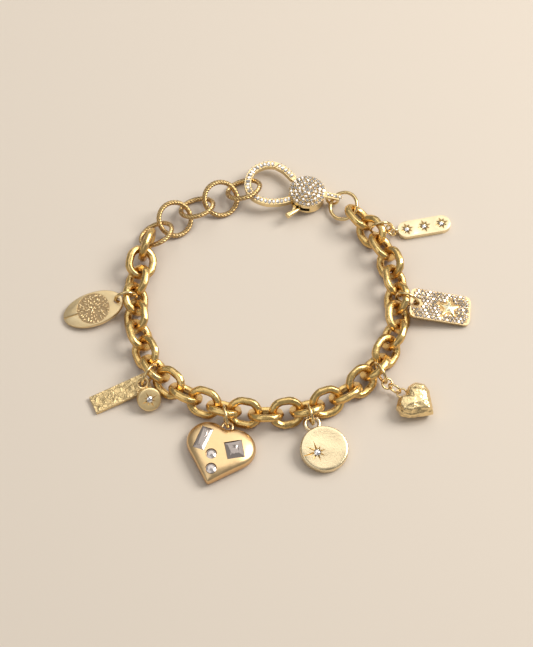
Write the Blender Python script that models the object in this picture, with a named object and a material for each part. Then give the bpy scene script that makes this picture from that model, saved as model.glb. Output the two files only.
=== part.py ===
"""A gold charm bracelet, closed and lying on a surface, in metres with +Z up.

The chain runs round one closed route in steps of each piece's own reach, so the loop always
closes. Every charm hangs from a link on its jump rings and slopes down until it meets the floor.
"""

import math

import bmesh
import bpy
import numpy as np
from mathutils import Matrix, Vector

# Clearance kept between pieces that touch on the real bracelet
CLEARANCE = 0.0001

# Main chain: round wire cable links, each rolled a quarter turn from the next
LINK_COUNT = 29
LINK_WIRE = 0.00175
LINK_SIDE_PLAY = 0.0022
LINK_NEXT_GAP = 0.00122
LINK_ROLL = 45.0

# Extender rings of twisted wire
EXTENDER_COUNT = 5
EXTENDER_WIRE = 0.0012
EXTENDER_BORE = 0.00665
EXTENDER_SLACK = 0.00045
EXTENDER_ROLL = 31.0
EXTENDER_SIDES = 14

# Plain ring between the chain and the clasp
CLASP_RING_WIRE = 0.00085
CLASP_RING_BORE = 0.0058
CLASP_RING_SLACK = 0.0003
CLASP_RING_ROLL = -22.0

# The first link after the extender stands on edge, with some slack, and the next one leans
STANDING_LINK_ROLL = 85.0
STANDING_LINK_SLACK = 0.00135
LEANING_LINK_ROLL = -24.0

# Route of the loop seen from above, through the joints between pieces, counter-clockwise from
# the hook of the clasp; only its shape counts, because it is scaled to the length of the chain
ROUTE = [
    (-0.0039, 0.0349),
    (-0.0078, 0.0328),
    (-0.0190, 0.0278),
    (-0.0267, 0.0207),
    (-0.0300, 0.0086),
    (-0.0296, -0.0035),
    (-0.0254, -0.0144),
    (-0.0178, -0.0211),
    (-0.0086, -0.0249),
    (0.0012, -0.0262),
    (0.0106, -0.0243),
    (0.0190, -0.0205),
    (0.0261, -0.0132),
    (0.0305, -0.0047),
    (0.0310, 0.0046),
    (0.0297, 0.0140),
    (0.0253, 0.0224),
    (0.0165, 0.0316),
]

# Clasp: domed round housing, hook, spring gate with its lever, and tail eye
HOUSING_DIAMETER = 0.0086
HOUSING_HEIGHT = 0.0031
DOME_RISE = 0.0007
SLOT_HEIGHT = 0.0011
HOOK_REACH = 0.0101
HOOK_HALF_WIDTH = 0.0054
BAND_WIDTH = 0.0015
BAND_THICKNESS = 0.00125
PIN_DIAMETER = 0.0011
HUB_DIAMETER = 0.0026
PIVOT_ALONG = 0.0019
PIVOT_ASIDE = -0.0015
LEVER_LENGTH = 0.0025
LEVER_WIDTH = 0.0016
LEVER_THICKNESS = 0.0014
TAIL_EYE_BORE = 0.0020
TAIL_EYE_WIRE = 0.0007
TAIL_TAB_LENGTH = 0.0036
HOOK_LIFT = 0.0016
CLASP_ROLL = 3.0
TAIL_LIFT = 0.0003

# Hook of the clasp, as shares of its reach past the housing and of its half width about its
# middle line, from the fixed root round to the gate
HOOK_ASIDE = -0.00085
HOOK_ROUTE = [
    (0.11, 0.82), (0.43, 1.00), (0.72, 0.92), (0.93, 0.60), (1.00, 0.10), (0.93, -0.48),
    (0.72, -0.87), (0.50, -1.00), (0.27, -0.90), (0.10, -0.70), (-0.03, -0.50),
]
HOOK_ROOT_ANGLE = 34.0
HOOK_ROOT_SHARE = 0.92
HOOK_CONTACT = 4
HOOK_CONTACT_SHARE = 0.5
HOOK_COVERED = (0.0122, 0.0035)
SEAM_SHARE = 0.40
SEAM_GAP = 0.00015
SEAM_SLANT = 40.0
LEVER_ROOT_ANGLE = 71.0
LEVER_HEADING = 48.0
ARM_WIDTH = 0.0010
WEB_SHARE = 0.33
RIM_GAP = 0.0012

# How far the hook's bar sits past the middle of the extender ring that it is closed on
EXTENDER_HOOK_OFFSET = 0.0012

# Small pave stones
PAVE_STONE = 0.00078
PAVE_GAP = 0.00018
PAVE_CROWN = 0.0002
PAVE_TABLE_SHARE = 0.55

# Jump rings
JUMP_WIRE = 0.0007
SMALL_RING_WIRE = 0.0005
OVAL_RING_BORE = 0.0041
BAR_RING_BORE = 0.0048
HEART_RING_BORE = 0.0044
DISC_RING_BORE = 0.0039
TAG_RING_BORE = 0.0043
PILL_RING_BORE = 0.0043
SMALL_HEART_RING_BORE = 0.0044
SMALL_RING_BORE = 0.0019
SMALL_HEART_LINK_BORE = 0.0026
PILL_SMALL_RING_BORE = 0.0022
JUMP_SIDES = 12

# Oval charm with a tree
OVAL_LENGTH = 0.0145
OVAL_WIDTH = 0.0086
OVAL_THICKNESS = 0.0009
TREE_RADIUS = 0.0039
TREE_RELIEF = 0.00025

# Rectangular bar charm
BAR_LENGTH = 0.0140
BAR_WIDTH = 0.0045
BAR_THICKNESS = 0.0009
BAR_RELIEF = 0.00018
BAR_HOLE_ASIDE = 0.0006

# Small star disc
SMALL_DISC_DIAMETER = 0.0055
SMALL_DISC_THICKNESS = 0.0017
SMALL_DISC_EYE_BORE = 0.0020

# Large puffed heart
HEART_WIDTH = 0.0160
HEART_THICKNESS = 0.0034
HEART_EDGE = 0.0009
HEART_LOBE_STEPS = 10
HEART_EYE_BORE = 0.0018
HEART_EYE_RISE = 0.0005
HEART_STONE_DEPTH = 0.0007

# Heart stones: length, width, place along and aside as shares of the heart's width, and turn; a
# stone whose length equals its width is round
HEART_STONES = {
    "heart_baguette": (0.0056, 0.0026, 0.226, -0.262, -4.0),
    "heart_square": (0.0041, 0.0039, 0.264, 0.216, 29.0),
    "heart_round_a": (0.0024, 0.0024, 0.427, -0.075, 0.0),
    "heart_round_b": (0.0024, 0.0024, 0.640, -0.006, 0.0),
}

# Round disc charm
DISC_DIAMETER = 0.0108
DISC_THICKNESS = 0.0020
DISC_EDGE = 0.0005
DISC_EYE_BORE = 0.0024
DISC_STONE = 0.0015
# The round disc's outline wanders a little from a circle: lobes, share of its radius, start
DISC_WANDER = [(2, 0.012, 0.6), (3, 0.010, 2.0), (5, 0.006, 1.0)]
DISC_RAYS = [1.75, 1.27, 1.39, 0.83, 1.06, 1.17, 1.35, 1.18]

# Small faceted heart
SMALL_HEART_WIDTH = 0.0094
SMALL_HEART_THICKNESS = 0.0048
SMALL_HEART_EYE_BORE = 0.0018

# Dog tag
TAG_LENGTH = 0.0143
TAG_WIDTH = 0.0075
TAG_THICKNESS = 0.0011
TAG_CORNER = 0.0012
TAG_STAR = 0.0025
TAG_STAR_RISE = 0.00035

# Pill charm
PILL_LENGTH = 0.0127
PILL_WIDTH = 0.0043
PILL_THICKNESS = 0.0013
PILL_STAR = 0.0015
PILL_STAR_PITCH = 0.0042
PILL_EYE_BORE = 0.0011
PILL_EYE_RISE = 0.0003

# Jump rings' lean from upright, in degrees
RING_LEAN = 80.0

# Rings: piece, link that carries it, bore, wire, turn from the link's outward side, and how far
# down its own circle the charm's hole lies
RINGS = [
    ("jump_ring_oval", 4, OVAL_RING_BORE, JUMP_WIRE, 8.0),
    ("jump_ring_bar", 8, BAR_RING_BORE, JUMP_WIRE, 24.0),
    ("jump_ring_heart", 12, HEART_RING_BORE, JUMP_WIRE, 29.0),
    ("jump_ring_disc", 16, DISC_RING_BORE, JUMP_WIRE, 0.0),
    ("jump_ring_small_heart", 20, SMALL_HEART_RING_BORE, JUMP_WIRE, -24.0),
    ("jump_ring_tag", 24, TAG_RING_BORE, JUMP_WIRE, -20.0),
    ("jump_ring_pill", 28, PILL_RING_BORE, JUMP_WIRE, -27.0),
]

# Runs of small rings that carry a charm: piece, bore, turn from the last ring, drop below level
SMALL_HEART_RINGS = [
    ("small_heart_ring_a", SMALL_RING_BORE, 14.0, 18.0),
    ("small_heart_ring_b", SMALL_HEART_LINK_BORE, 14.0, 8.0),
]
SMALL_HEART_HEADING = -36.0
PILL_RINGS = [("pill_ring", PILL_SMALL_RING_BORE, 8.0, 36.0)]
PILL_HEADING = 11.5
STEEPEST_FALL = 0.8

# Holes drilled near the end of a plate, and the wire of a soldered eye
HOLE_DIAMETER = 0.0016
HOLE_MARGIN = 0.00065
BAR_HOLE_DIAMETER = 0.0024
EYE_WIRE = 0.0006
BIG_EYE_WIRE = 0.0009

# Colours, roughness
GOLD = (0.58, 0.36, 0.11)
PALE_GOLD = (0.74, 0.55, 0.27)
ROSE_GOLD = (0.75, 0.50, 0.27)
SMOKY_CRYSTAL = (0.62, 0.56, 0.54)

UP = Vector((0.0, 0.0, 1.0))


def clear_scene():
    for obj in list(bpy.data.objects):
        bpy.data.objects.remove(obj)


def new_collection(name, hidden=False):
    collection = bpy.data.collections.new(name)
    collection.hide_render = hidden
    bpy.context.scene.collection.children.link(collection)
    return collection


def finish(name, colour, roughness=0.3, metallic=1.0):
    """A plain material for one piece."""
    material = bpy.data.materials.new(name)
    material.use_nodes = True
    shader = material.node_tree.nodes["Principled BSDF"]
    shader.inputs["Base Color"].default_value = (*colour, 1.0)
    shader.inputs["Roughness"].default_value = roughness
    shader.inputs["Metallic"].default_value = metallic
    return material


def add_object(name, data, colour, roughness=0.3, metallic=1.0):
    """One piece of the bracelet, with its own material."""
    obj = bpy.data.objects.new(name, data)
    bracelet.objects.link(obj)
    obj.data.materials.append(finish(name, colour, roughness, metallic))
    return obj


def mesh_from(bm, name):
    """Closes off a bmesh: normals out, and round parts shaded smooth."""
    bmesh.ops.recalc_face_normals(bm, faces=bm.faces)
    mesh = bpy.data.meshes.new(name)
    bm.to_mesh(mesh)
    bm.free()
    return mesh


def smooth(mesh, angle=35.0):
    mesh.shade_smooth()
    mesh.set_sharp_from_angle(angle=math.radians(angle))
    return mesh


def combine(mesh, tools):
    """Runs a list of (operation, cutter mesh) on a mesh with exact Booleans, and returns the result."""
    base = bpy.data.objects.new("base", mesh)
    bracelet.objects.link(base)
    helpers = []
    for operation, tool in tools:
        cutter = bpy.data.objects.new("cutter", tool)
        cutter.display_type = "WIRE"
        cutter.hide_render = True
        cutters.objects.link(cutter)
        boolean = base.modifiers.new(operation.title(), "BOOLEAN")
        boolean.operation = operation
        boolean.solver = "EXACT"
        boolean.use_self = operation == "UNION"
        boolean.object = cutter
        helpers.append(cutter)
    bpy.context.view_layer.update()
    graph = bpy.context.evaluated_depsgraph_get()
    result = bpy.data.meshes.new_from_object(base.evaluated_get(graph))
    for helper in [base, *helpers]:
        bpy.data.objects.remove(helper)
    return result


def moved(mesh, matrix):
    mesh.transform(matrix)
    if matrix.is_negative:
        mesh.flip_normals()
    return mesh


def circle_points(radius, count, start=0.0):
    turn = 2.0 * math.pi / count
    return [Vector((radius * math.cos(start + i * turn), radius * math.sin(start + i * turn)))
            for i in range(count)]


def wire_curve(name, points, wire, sides_resolution=1, cyclic=True):
    """Round wire through flat points: six sides at resolution 1."""
    curve = bpy.data.curves.new(name, "CURVE")
    curve.dimensions = "3D"
    curve.twist_mode = "Z_UP"
    curve.bevel_depth = wire / 2.0
    curve.bevel_resolution = sides_resolution
    curve.use_fill_caps = not cyclic
    spline = curve.splines.new("POLY")
    spline.points.add(len(points) - 1)
    for spot, point in zip(spline.points, points):
        spot.co = (point[0], point[1], point[2] if len(point) > 2 else 0.0, 1.0)
    spline.use_cyclic_u = cyclic
    return curve


def mesh_of_curve(curve):
    """A curve's tube as a closed mesh, with its caps welded on."""
    obj = bpy.data.objects.new("tube", curve)
    bracelet.objects.link(obj)
    bpy.context.view_layer.update()
    mesh = bpy.data.meshes.new_from_object(
        obj.evaluated_get(bpy.context.evaluated_depsgraph_get()))
    bpy.data.objects.remove(obj)
    bm = bmesh.new()
    bm.from_mesh(mesh)
    bmesh.ops.remove_doubles(bm, verts=bm.verts, dist=1e-7)
    return mesh_from(bm, curve.name)


def ring_mesh(bore, wire, sides=JUMP_SIDES, centre=(0.0, 0.0), height=0.0):
    """A wire ring lying flat, as a mesh."""
    radius = (bore + wire) / 2.0
    points = [(centre[0] + p.x, centre[1] + p.y, height) for p in circle_points(radius, sides)]
    return mesh_of_curve(wire_curve("ring", points, wire))


def lofted(outline, levels, centre=Vector((0.0, 0.0))):
    """A closed solid through copies of one outline, each drawn in towards the centre and raised."""
    bm = bmesh.new()
    rings = []
    for inset, height in levels:
        ring = []
        for point in outline:
            spoke = point - centre
            drawn = centre + spoke * (1.0 - inset / spoke.length)
            ring.append(bm.verts.new((drawn.x, drawn.y, height)))
        rings.append(ring)
    count = len(outline)
    for low, high in zip(rings, rings[1:]):
        for i in range(count):
            j = (i + 1) % count
            bm.faces.new((low[i], low[j], high[j], high[i]))
    bm.faces.new(list(reversed(rings[0])))
    bm.faces.new(rings[-1])
    return mesh_from(bm, "loft")


def cylinder(diameter, low, high, sides=12, centre=(0.0, 0.0)):
    bm = bmesh.new()
    bmesh.ops.create_cone(bm, cap_ends=True, segments=sides, radius1=diameter / 2.0,
                          radius2=diameter / 2.0, depth=high - low,
                          matrix=Matrix.Translation((*centre, (low + high) / 2.0)))
    return mesh_from(bm, "cylinder")


def block(size, centre, turn=0.0):
    bm = bmesh.new()
    place = Matrix.Translation(centre) @ Matrix.Rotation(turn, 4, "Z") @ Matrix.Diagonal((*size, 1.0))
    bmesh.ops.create_cube(bm, size=1.0, matrix=place)
    return mesh_from(bm, "block")


def star_cutter(ray_lengths, waist, depth, top, centre=(0.0, 0.0), turn=0.0):
    """An inverted star pyramid: one point below, and above the surface one for each ray."""
    count = 2 * len(ray_lengths)
    past = 1.4
    bm = bmesh.new()
    tip = bm.verts.new((*centre, top - depth))
    ring = []
    for i in range(count):
        reach = past * (ray_lengths[i // 2] if i % 2 == 0 else waist)
        angle = turn + math.pi * i / len(ray_lengths)
        ring.append(bm.verts.new((centre[0] + reach * math.cos(angle),
                                  centre[1] + reach * math.sin(angle),
                                  top + (past - 1.0) * depth)))
    for i in range(count):
        bm.faces.new((tip, ring[(i + 1) % count], ring[i]))
    bm.faces.new(ring)
    return mesh_from(bm, "star")


def add_cut_stone(bm, place, width, crown, root, sides=4):
    """One cut stone: a table, twice as many crown facets as sides, and a root below its girdle."""
    girdle = [bm.verts.new(place @ Vector((p.x, p.y, 0.0)))
              for p in circle_points(width / 2.0, sides)]
    turn = math.pi / sides
    table_radius = width / 2.0 * PAVE_TABLE_SHARE
    table = [bm.verts.new(place @ Vector((p.x, p.y, crown)))
             for p in circle_points(table_radius, sides, turn)]
    bottom = [bm.verts.new(place @ Vector((p.x, p.y, -root)))
              for p in circle_points(width / 2.0, sides)]
    for i in range(sides):
        j = (i + 1) % sides
        bm.faces.new((girdle[i], girdle[j], table[i]))
        bm.faces.new((girdle[j], table[j], table[i]))
        bm.faces.new((bottom[i], bottom[j], girdle[j], girdle[i]))
    bm.faces.new(table)
    bm.faces.new(list(reversed(bottom)))


def pave(spots, root):
    """A field of small cut stones, one at each placing matrix, as one tool mesh."""
    bm = bmesh.new()
    for spot in spots:
        add_cut_stone(bm, spot, PAVE_STONE, PAVE_CROWN, root)
    return mesh_from(bm, "pave")


def round_stone(width, crown, pavilion):
    """A round brilliant: table, crown facets, girdle and a pavilion point."""
    bm = bmesh.new()
    add_cut_stone(bm, Matrix.Identity(4), width, crown, 0.0002, sides=8)
    bottom = next(face for face in bm.faces if all(vert.co.z < 0.0 for vert in face.verts))
    made = bmesh.ops.poke(bm, faces=[bottom])
    made["verts"][0].co.z = -pavilion
    return mesh_from(bm, "round_stone")


def step_stone(length, width, corner, crown, pavilion):
    """A step cut stone with clipped corners: table, two rows of crown steps, and a small keel."""
    outline = clipped_rectangle(length, width, corner)
    girdle = width / 2.0
    return lofted(outline, [
        (0.7 * girdle, -pavilion),
        (0.0, -0.0002),
        (0.0, 0.0),
        (0.18 * girdle, 0.6 * crown),
        (0.42 * girdle, crown),
    ])


def clipped_rectangle(length, width, corner):
    half_long, half_wide = length / 2.0, width / 2.0
    return [Vector((x, y)) for x, y in (
        (half_long, corner - half_wide), (half_long, half_wide - corner),
        (half_long - corner, half_wide), (corner - half_long, half_wide),
        (-half_long, half_wide - corner), (-half_long, corner - half_wide),
        (corner - half_long, -half_wide), (half_long - corner, -half_wide))]


def rounded_rectangle(length, width, corner, steps=2):
    """A plate outline with quarter round corners, counter-clockwise from the right edge."""
    outline = []
    for quarter, (sx, sy) in enumerate(((1, 1), (-1, 1), (-1, -1), (1, -1))):
        middle = Vector((sx * (length / 2.0 - corner), sy * (width / 2.0 - corner)))
        for step in range(steps + 1):
            angle = math.pi / 2.0 * (quarter + step / steps)
            outline.append(middle + corner * Vector((math.cos(angle), math.sin(angle))))
    return outline


# Route of the loop


def route_samples(per_span=60):
    """The route's points joined by a closed Catmull-Rom curve, sampled finely."""
    points = [Vector(point) for point in ROUTE]
    count = len(points)
    samples = []
    for i in range(count):
        before, here, there, after = (points[(i + k) % count] for k in (-1, 0, 1, 2))
        for step in range(per_span):
            t = step / per_span
            samples.append(0.5 * (2.0 * here + (there - before) * t
                                  + (2.0 * before - 5.0 * here + 4.0 * there - after) * t ** 2
                                  + (3.0 * here - before - 3.0 * there + after) * t ** 3))
    return np.array([tuple(sample) for sample in samples])


def walk(samples, chords):
    """Steps along the closed curve by straight chords; returns the joints and the distance walked."""
    count = len(samples)

    def at(place):
        low = int(math.floor(place))
        share = place - low
        return samples[low % count] * (1.0 - share) + samples[(low + 1) % count] * share

    place = 0.0
    joints = [at(place)]
    for chord in chords:
        far = place + 1.0
        while np.linalg.norm(at(far) - joints[-1]) < chord:
            far += 1.0
        near = far - 1.0
        for _ in range(30):
            middle = (near + far) / 2.0
            if np.linalg.norm(at(middle) - joints[-1]) < chord:
                near = middle
            else:
                far = middle
        place = far
        joints.append(at(place))
    return joints, place / count


def closed_joints(chords):
    """Scales the route until the whole chain of chords closes on itself exactly once round."""
    samples = route_samples()
    low, high = 0.3, 3.0
    for _ in range(40):
        scale = (low + high) / 2.0
        _, turns = walk(samples * scale, chords)
        if turns > 1.0:
            low = scale
        else:
            high = scale
    joints, _ = walk(samples * high, chords)
    return [Vector(joint) for joint in joints[:-1]]


def frame_between(start, end, roll):
    """Axes of a span: X along it, Z its normal, rolled outwards from upright by the roll angle."""
    along = (end - start).normalized()
    outward = along.cross(UP).normalized()
    upright = outward.cross(along)
    angle = math.radians(roll)
    normal = math.cos(angle) * upright + math.sin(angle) * outward
    side = normal.cross(along)
    return Matrix((along, side, normal)).transposed().to_4x4(), outward


# Sizes that follow from the ones above

link_inner_width = LINK_WIRE + LINK_SIDE_PLAY
link_width = link_inner_width + 2.0 * LINK_WIRE
link_length = 4.0 * LINK_WIRE + 2.0 * CLEARANCE + LINK_NEXT_GAP
link_pitch = link_length - 2.0 * LINK_WIRE - CLEARANCE
link_spread = (link_width - LINK_WIRE) / 2.0
link_height = link_spread * math.sin(math.radians(LINK_ROLL)) + LINK_WIRE / 2.0

flat_share = math.cos(math.pi / JUMP_SIDES)

extender_radius = (EXTENDER_BORE + EXTENDER_WIRE) / 2.0
extender_pitch = EXTENDER_BORE - CLEARANCE - EXTENDER_SLACK
extender_height = extender_radius * math.sin(math.radians(EXTENDER_ROLL)) + EXTENDER_WIRE / 2.0

clasp_ring_radius = (CLASP_RING_BORE + CLASP_RING_WIRE) / 2.0
standing_height = link_spread * math.sin(math.radians(STANDING_LINK_ROLL)) + LINK_WIRE / 2.0

housing_radius = HOUSING_DIAMETER / 2.0
band_middle = HOUSING_HEIGHT / 2.0
tail_eye_radius = (TAIL_EYE_BORE + TAIL_EYE_WIRE) / 2.0
tail_eye_along = -(housing_radius + tail_eye_radius + 0.7 * TAIL_EYE_WIRE)

bracelet = None
cutters = None


def swept_band(points, width, thickness, height, start_cut=None, end_cut=None):
    """A flat-topped band along a line seen from above; a cut slants one of its ends."""
    rings = []
    for i, point in enumerate(points):
        ahead = points[min(i + 1, len(points) - 1)] - points[max(i - 1, 0)]
        aside = Vector((-ahead.y, ahead.x)).normalized() * width / 2.0
        cut = {0: start_cut, len(points) - 1: end_cut}.get(i)
        ring = []
        for spot in (point + aside, point - aside):
            if cut:
                spot = spot + ahead * (cut[0] - spot).dot(cut[1]) / ahead.dot(cut[1])
            ring.append(spot)
        rings.append(ring)
    bm = bmesh.new()
    low, high = height - thickness / 2.0, height + thickness / 2.0
    sections = [[bm.verts.new((spot.x, spot.y, level)) for spot, level in
                 ((left, low), (right, low), (right, high), (left, high))] for left, right in rings]
    for here, there in zip(sections, sections[1:]):
        for k in range(4):
            m = (k + 1) % 4
            bm.faces.new((here[k], here[m], there[m], there[k]))
    bm.faces.new(list(reversed(sections[0])))
    bm.faces.new(sections[-1])
    return mesh_from(bm, "band")


def smooth_line(points, steps=3):
    """An open Catmull-Rom line through a few points."""
    ends = [2.0 * points[0] - points[1], *points, 2.0 * points[-1] - points[-2]]
    line = []
    for before, here, there, after in zip(ends, ends[1:], ends[2:], ends[3:]):
        for step in range(steps):
            t = step / steps
            line.append(0.5 * (2.0 * here + (there - before) * t
                               + (2.0 * before - 5.0 * here + 4.0 * there - after) * t ** 2
                               + (3.0 * here - before - 3.0 * there + after) * t ** 3))
    return [*line, points[-1]]


def add_leaf(bm, centre, angle, length, width, rise, root):
    """A little raised leaf: a long four-sided pyramid."""
    along = Vector((math.cos(angle), math.sin(angle)))
    aside = Vector((-along.y, along.x))
    spots = [centre + along * length / 2.0, centre + aside * width / 2.0,
             centre - along * length / 2.0, centre - aside * width / 2.0]
    base = [bm.verts.new((p.x, p.y, -root)) for p in spots]
    brim = [bm.verts.new((p.x, p.y, 0.0)) for p in spots]
    top = bm.verts.new((centre.x, centre.y, rise))
    for i in range(4):
        j = (i + 1) % 4
        bm.faces.new((base[i], base[j], brim[j], brim[i]))
        bm.faces.new((brim[i], brim[j], top))
    bm.faces.new(list(reversed(base)))


def hook_line():
    middle = Vector((housing_radius, HOOK_ASIDE))
    root = housing_radius * HOOK_ROOT_SHARE * Vector((
        math.cos(math.radians(HOOK_ROOT_ANGLE)), math.sin(math.radians(HOOK_ROOT_ANGLE))))
    return [root] + [middle + Vector((HOOK_REACH * along, HOOK_HALF_WIDTH * aside))
                     for along, aside in HOOK_ROUTE]


def seam_plane():
    point = Vector((housing_radius + HOOK_REACH * SEAM_SHARE, HOOK_ASIDE - HOOK_HALF_WIDTH))
    angle = math.radians(180.0 - SEAM_SLANT)
    return point, Vector((math.cos(angle), math.sin(angle)))


def split_at_seam(line, point, normal):
    """The hook's share of the clasp's line and the gate's, both with their end on the seam."""
    past = [(spot - point).dot(normal) for spot in line]
    cross = next(i for i in range(len(line) // 2, len(line)) if past[i] > 0.0)
    meeting = line[cross - 1].lerp(line[cross], -past[cross - 1] / (past[cross] - past[cross - 1]))
    room = 0.6 * BAND_WIDTH
    hook = [spot for spot in line[:cross] if (spot - meeting).length > room]
    gate = [spot for spot in line[cross:] if (spot - meeting).length > room]
    return [*hook, meeting], [meeting, *gate]


def band_spots(line, top, first, clear=0.0):
    """Stones in a row along the middle of a band, a stone and a gap apart."""
    pitch = PAVE_STONE + PAVE_GAP
    spots, carried = [], first
    for here, there in zip(line, line[1:]):
        run = (there - here).length
        while carried <= run:
            spot = here.lerp(there, carried / run)
            if (spot - line[-1]).length > clear:
                spots.append(Matrix.Translation((spot.x, spot.y, top)))
            carried += pitch
        carried -= run
    return spots


def dome_height(radius):
    return HOUSING_HEIGHT + DOME_RISE * (1.0 - (radius / housing_radius) ** 2)


def dome_spots():
    """Rings of stones over the dome, each square to its surface."""
    pitch = PAVE_STONE + PAVE_GAP
    rings = int((housing_radius - PAVE_STONE / 2.0) / pitch)
    spots = [Matrix.Translation((0.0, 0.0, dome_height(0.0)))]
    for ring in range(1, rings + 1):
        radius = ring * pitch
        lean = math.atan(2.0 * DOME_RISE * radius / housing_radius ** 2)
        for step in range(6 * ring):
            turn = 2.0 * math.pi * step / (6 * ring)
            spots.append(Matrix.Rotation(turn, 4, "Z")
                         @ Matrix.Translation((radius, 0.0, dome_height(radius)))
                         @ Matrix.Rotation(lean, 4, "Y"))
    return spots


def housing_mesh():
    outline = circle_points(housing_radius, 24)
    steps = [share * housing_radius for share in (0.35, 0.7, 0.94)]
    edge = 0.12 * HOUSING_HEIGHT
    return lofted(outline, [(edge, 0.0), (0.0, edge), (0.0, HOUSING_HEIGHT)]
                  + [(step, dome_height(housing_radius - step)) for step in steps])


def clasp_meshes():
    """The clasp in its own frame: X from tail to hook, Y towards the thumb lever, floor at zero."""
    pivot = (PIVOT_ALONG, PIVOT_ASIDE)
    band_top = band_middle + BAND_THICKNESS / 2.0
    tongue = SLOT_HEIGHT - 2.0 * CLEARANCE
    point, normal = seam_plane()
    hook_part, gate_part = split_at_seam(smooth_line(hook_line()), point, normal)
    hook = swept_band(hook_part, BAND_WIDTH, BAND_THICKNESS, band_middle,
                      end_cut=(point - normal * SEAM_GAP / 2.0, normal))
    gate = swept_band(gate_part, BAND_WIDTH, BAND_THICKNESS, band_middle,
                      start_cut=(point + normal * SEAM_GAP / 2.0, normal))

    wide = 2.0 * HOUSING_DIAMETER
    web = -WEB_SHARE * housing_radius
    slot = block((wide, wide, SLOT_HEIGHT), (web + wide / 2.0, 0.0, band_middle))
    pin = cylinder(PIN_DIAMETER, 0.2 * HOUSING_HEIGHT, 0.9 * HOUSING_HEIGHT, 10, pivot)
    eye = moved(ring_mesh(TAIL_EYE_BORE, TAIL_EYE_WIRE),
                Matrix.Translation((tail_eye_along, 0.0, band_middle))
                @ Matrix.Rotation(math.pi / 2.0, 4, "X"))
    eye_top = band_middle + tail_eye_radius + 0.35 * TAIL_EYE_WIRE
    tab_start = 0.9 * housing_radius
    tab_end = housing_radius + TAIL_TAB_LENGTH
    tab = swept_band([Vector((-tab_start, 0.0)), Vector((-tab_end, 0.0))], BAND_WIDTH,
                     TAIL_EYE_WIRE, eye_top)
    tab_top = eye_top + TAIL_EYE_WIRE / 2.0
    pitch = PAVE_STONE + PAVE_GAP
    tab_line = [Vector((-housing_radius, 0.0)), Vector((-tab_end, 0.0))]
    stones = pave(dome_spots(), PAVE_CROWN)
    body_spots = band_spots(hook_part[2:], band_top, pitch, BAND_WIDTH) + \
        band_spots(tab_line, tab_top, 0.7 * pitch)
    covered = Vector((HOOK_COVERED[0], HOOK_COVERED[1], band_top))
    body_spots = [spot for spot in body_spots
                  if (spot.translation - covered).length > 1.4 * PAVE_STONE]
    body = combine(housing_mesh(), [
        ("DIFFERENCE", slot), ("UNION", pin), ("UNION", hook), ("UNION", eye), ("UNION", tab),
        ("UNION", stones), ("UNION", pave(body_spots, PAVE_CROWN))])

    hub = cylinder(HUB_DIAMETER, band_middle - tongue / 2.0, band_middle + tongue / 2.0, 16, pivot)
    arm_end = gate_part[-2]
    lever_angle = math.radians(LEVER_ROOT_ANGLE)
    lever_root = (housing_radius + RIM_GAP) * Vector((math.cos(lever_angle), math.sin(lever_angle)))
    heading = math.radians(LEVER_HEADING)
    lever_way = Vector((math.cos(heading), math.sin(heading)))
    lever_middle = lever_root + lever_way * LEVER_LENGTH / 2.0
    lever = block((LEVER_LENGTH, LEVER_WIDTH, LEVER_THICKNESS),
                  (lever_middle.x, lever_middle.y, band_middle), heading)
    hole = cylinder(PIN_DIAMETER + 2.0 * CLEARANCE, 0.0, HOUSING_HEIGHT, 10, pivot)
    gate_body = combine(gate, [
        ("UNION", hub),
        ("UNION", bar_between(Vector(pivot), arm_end, ARM_WIDTH, tongue)),
        ("UNION", bar_between(Vector(pivot), lever_root + lever_way * LEVER_WIDTH / 2.0,
                              ARM_WIDTH, tongue)),
        ("UNION", lever), ("DIFFERENCE", hole),
        ("UNION", pave(band_spots(gate_part, band_top, BAND_WIDTH, PAVE_STONE), PAVE_CROWN))])
    return body, gate_body


def bar_between(start, end, width, thickness):
    """A flat arm at the middle height of the clasp."""
    middle = (start + end) / 2.0
    run = end - start
    return block((run.length, width, thickness), (middle.x, middle.y, band_middle),
                 math.atan2(run.y, run.x))


# Charms, each in its own frame: origin at the middle of its hole or eye, X away from the chain,
# Z up through its face. Each function returns its mesh and those of its separate stones.


def oval_charm():
    rim = HOLE_DIAMETER / 2.0 + HOLE_MARGIN
    half = OVAL_THICKNESS / 2.0
    edge = OVAL_THICKNESS / 4.0
    centre = Vector((OVAL_LENGTH / 2.0 - rim, 0.0))
    outline = [centre + Vector((p.x * OVAL_LENGTH, p.y * OVAL_WIDTH))
               for p in circle_points(0.5, 28)]
    plate = lofted(outline, [(0.0, -half), (0.0, half - edge), (edge, half)], centre)
    leaves = bmesh.new()
    for share, count in ((0.36, 7), (0.64, 12), (0.90, 16)):
        for i in range(count):
            angle = 2.0 * math.pi * (i + 0.5) / count
            spot = centre + share * TREE_RADIUS * Vector((math.cos(angle), math.sin(angle)))
            add_leaf(leaves, spot, angle, 0.24 * TREE_RADIUS,
                     0.13 * TREE_RADIUS, TREE_RELIEF, edge)
    relief = moved(mesh_from(leaves, "leaves"), Matrix.Translation((0.0, 0.0, half)))
    trunk_start = OVAL_LENGTH - rim - edge
    trunk_length = OVAL_LENGTH / 2.0 - TREE_RADIUS
    groove = bmesh.new()
    bmesh.ops.create_cube(groove, size=1.0, matrix=(
        Matrix.Translation((trunk_start - trunk_length / 2.0, 0.0, half))
        @ Matrix.Rotation(math.pi / 4.0, 4, "X")
        @ Matrix.Diagonal((trunk_length, 0.3 * OVAL_THICKNESS, 0.3 * OVAL_THICKNESS, 1.0))))
    hole = cylinder(HOLE_DIAMETER, -OVAL_THICKNESS, OVAL_THICKNESS)
    return combine(plate, [("DIFFERENCE", hole), ("DIFFERENCE", mesh_from(groove, "trunk")),
                           ("UNION", relief)]), {}


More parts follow.
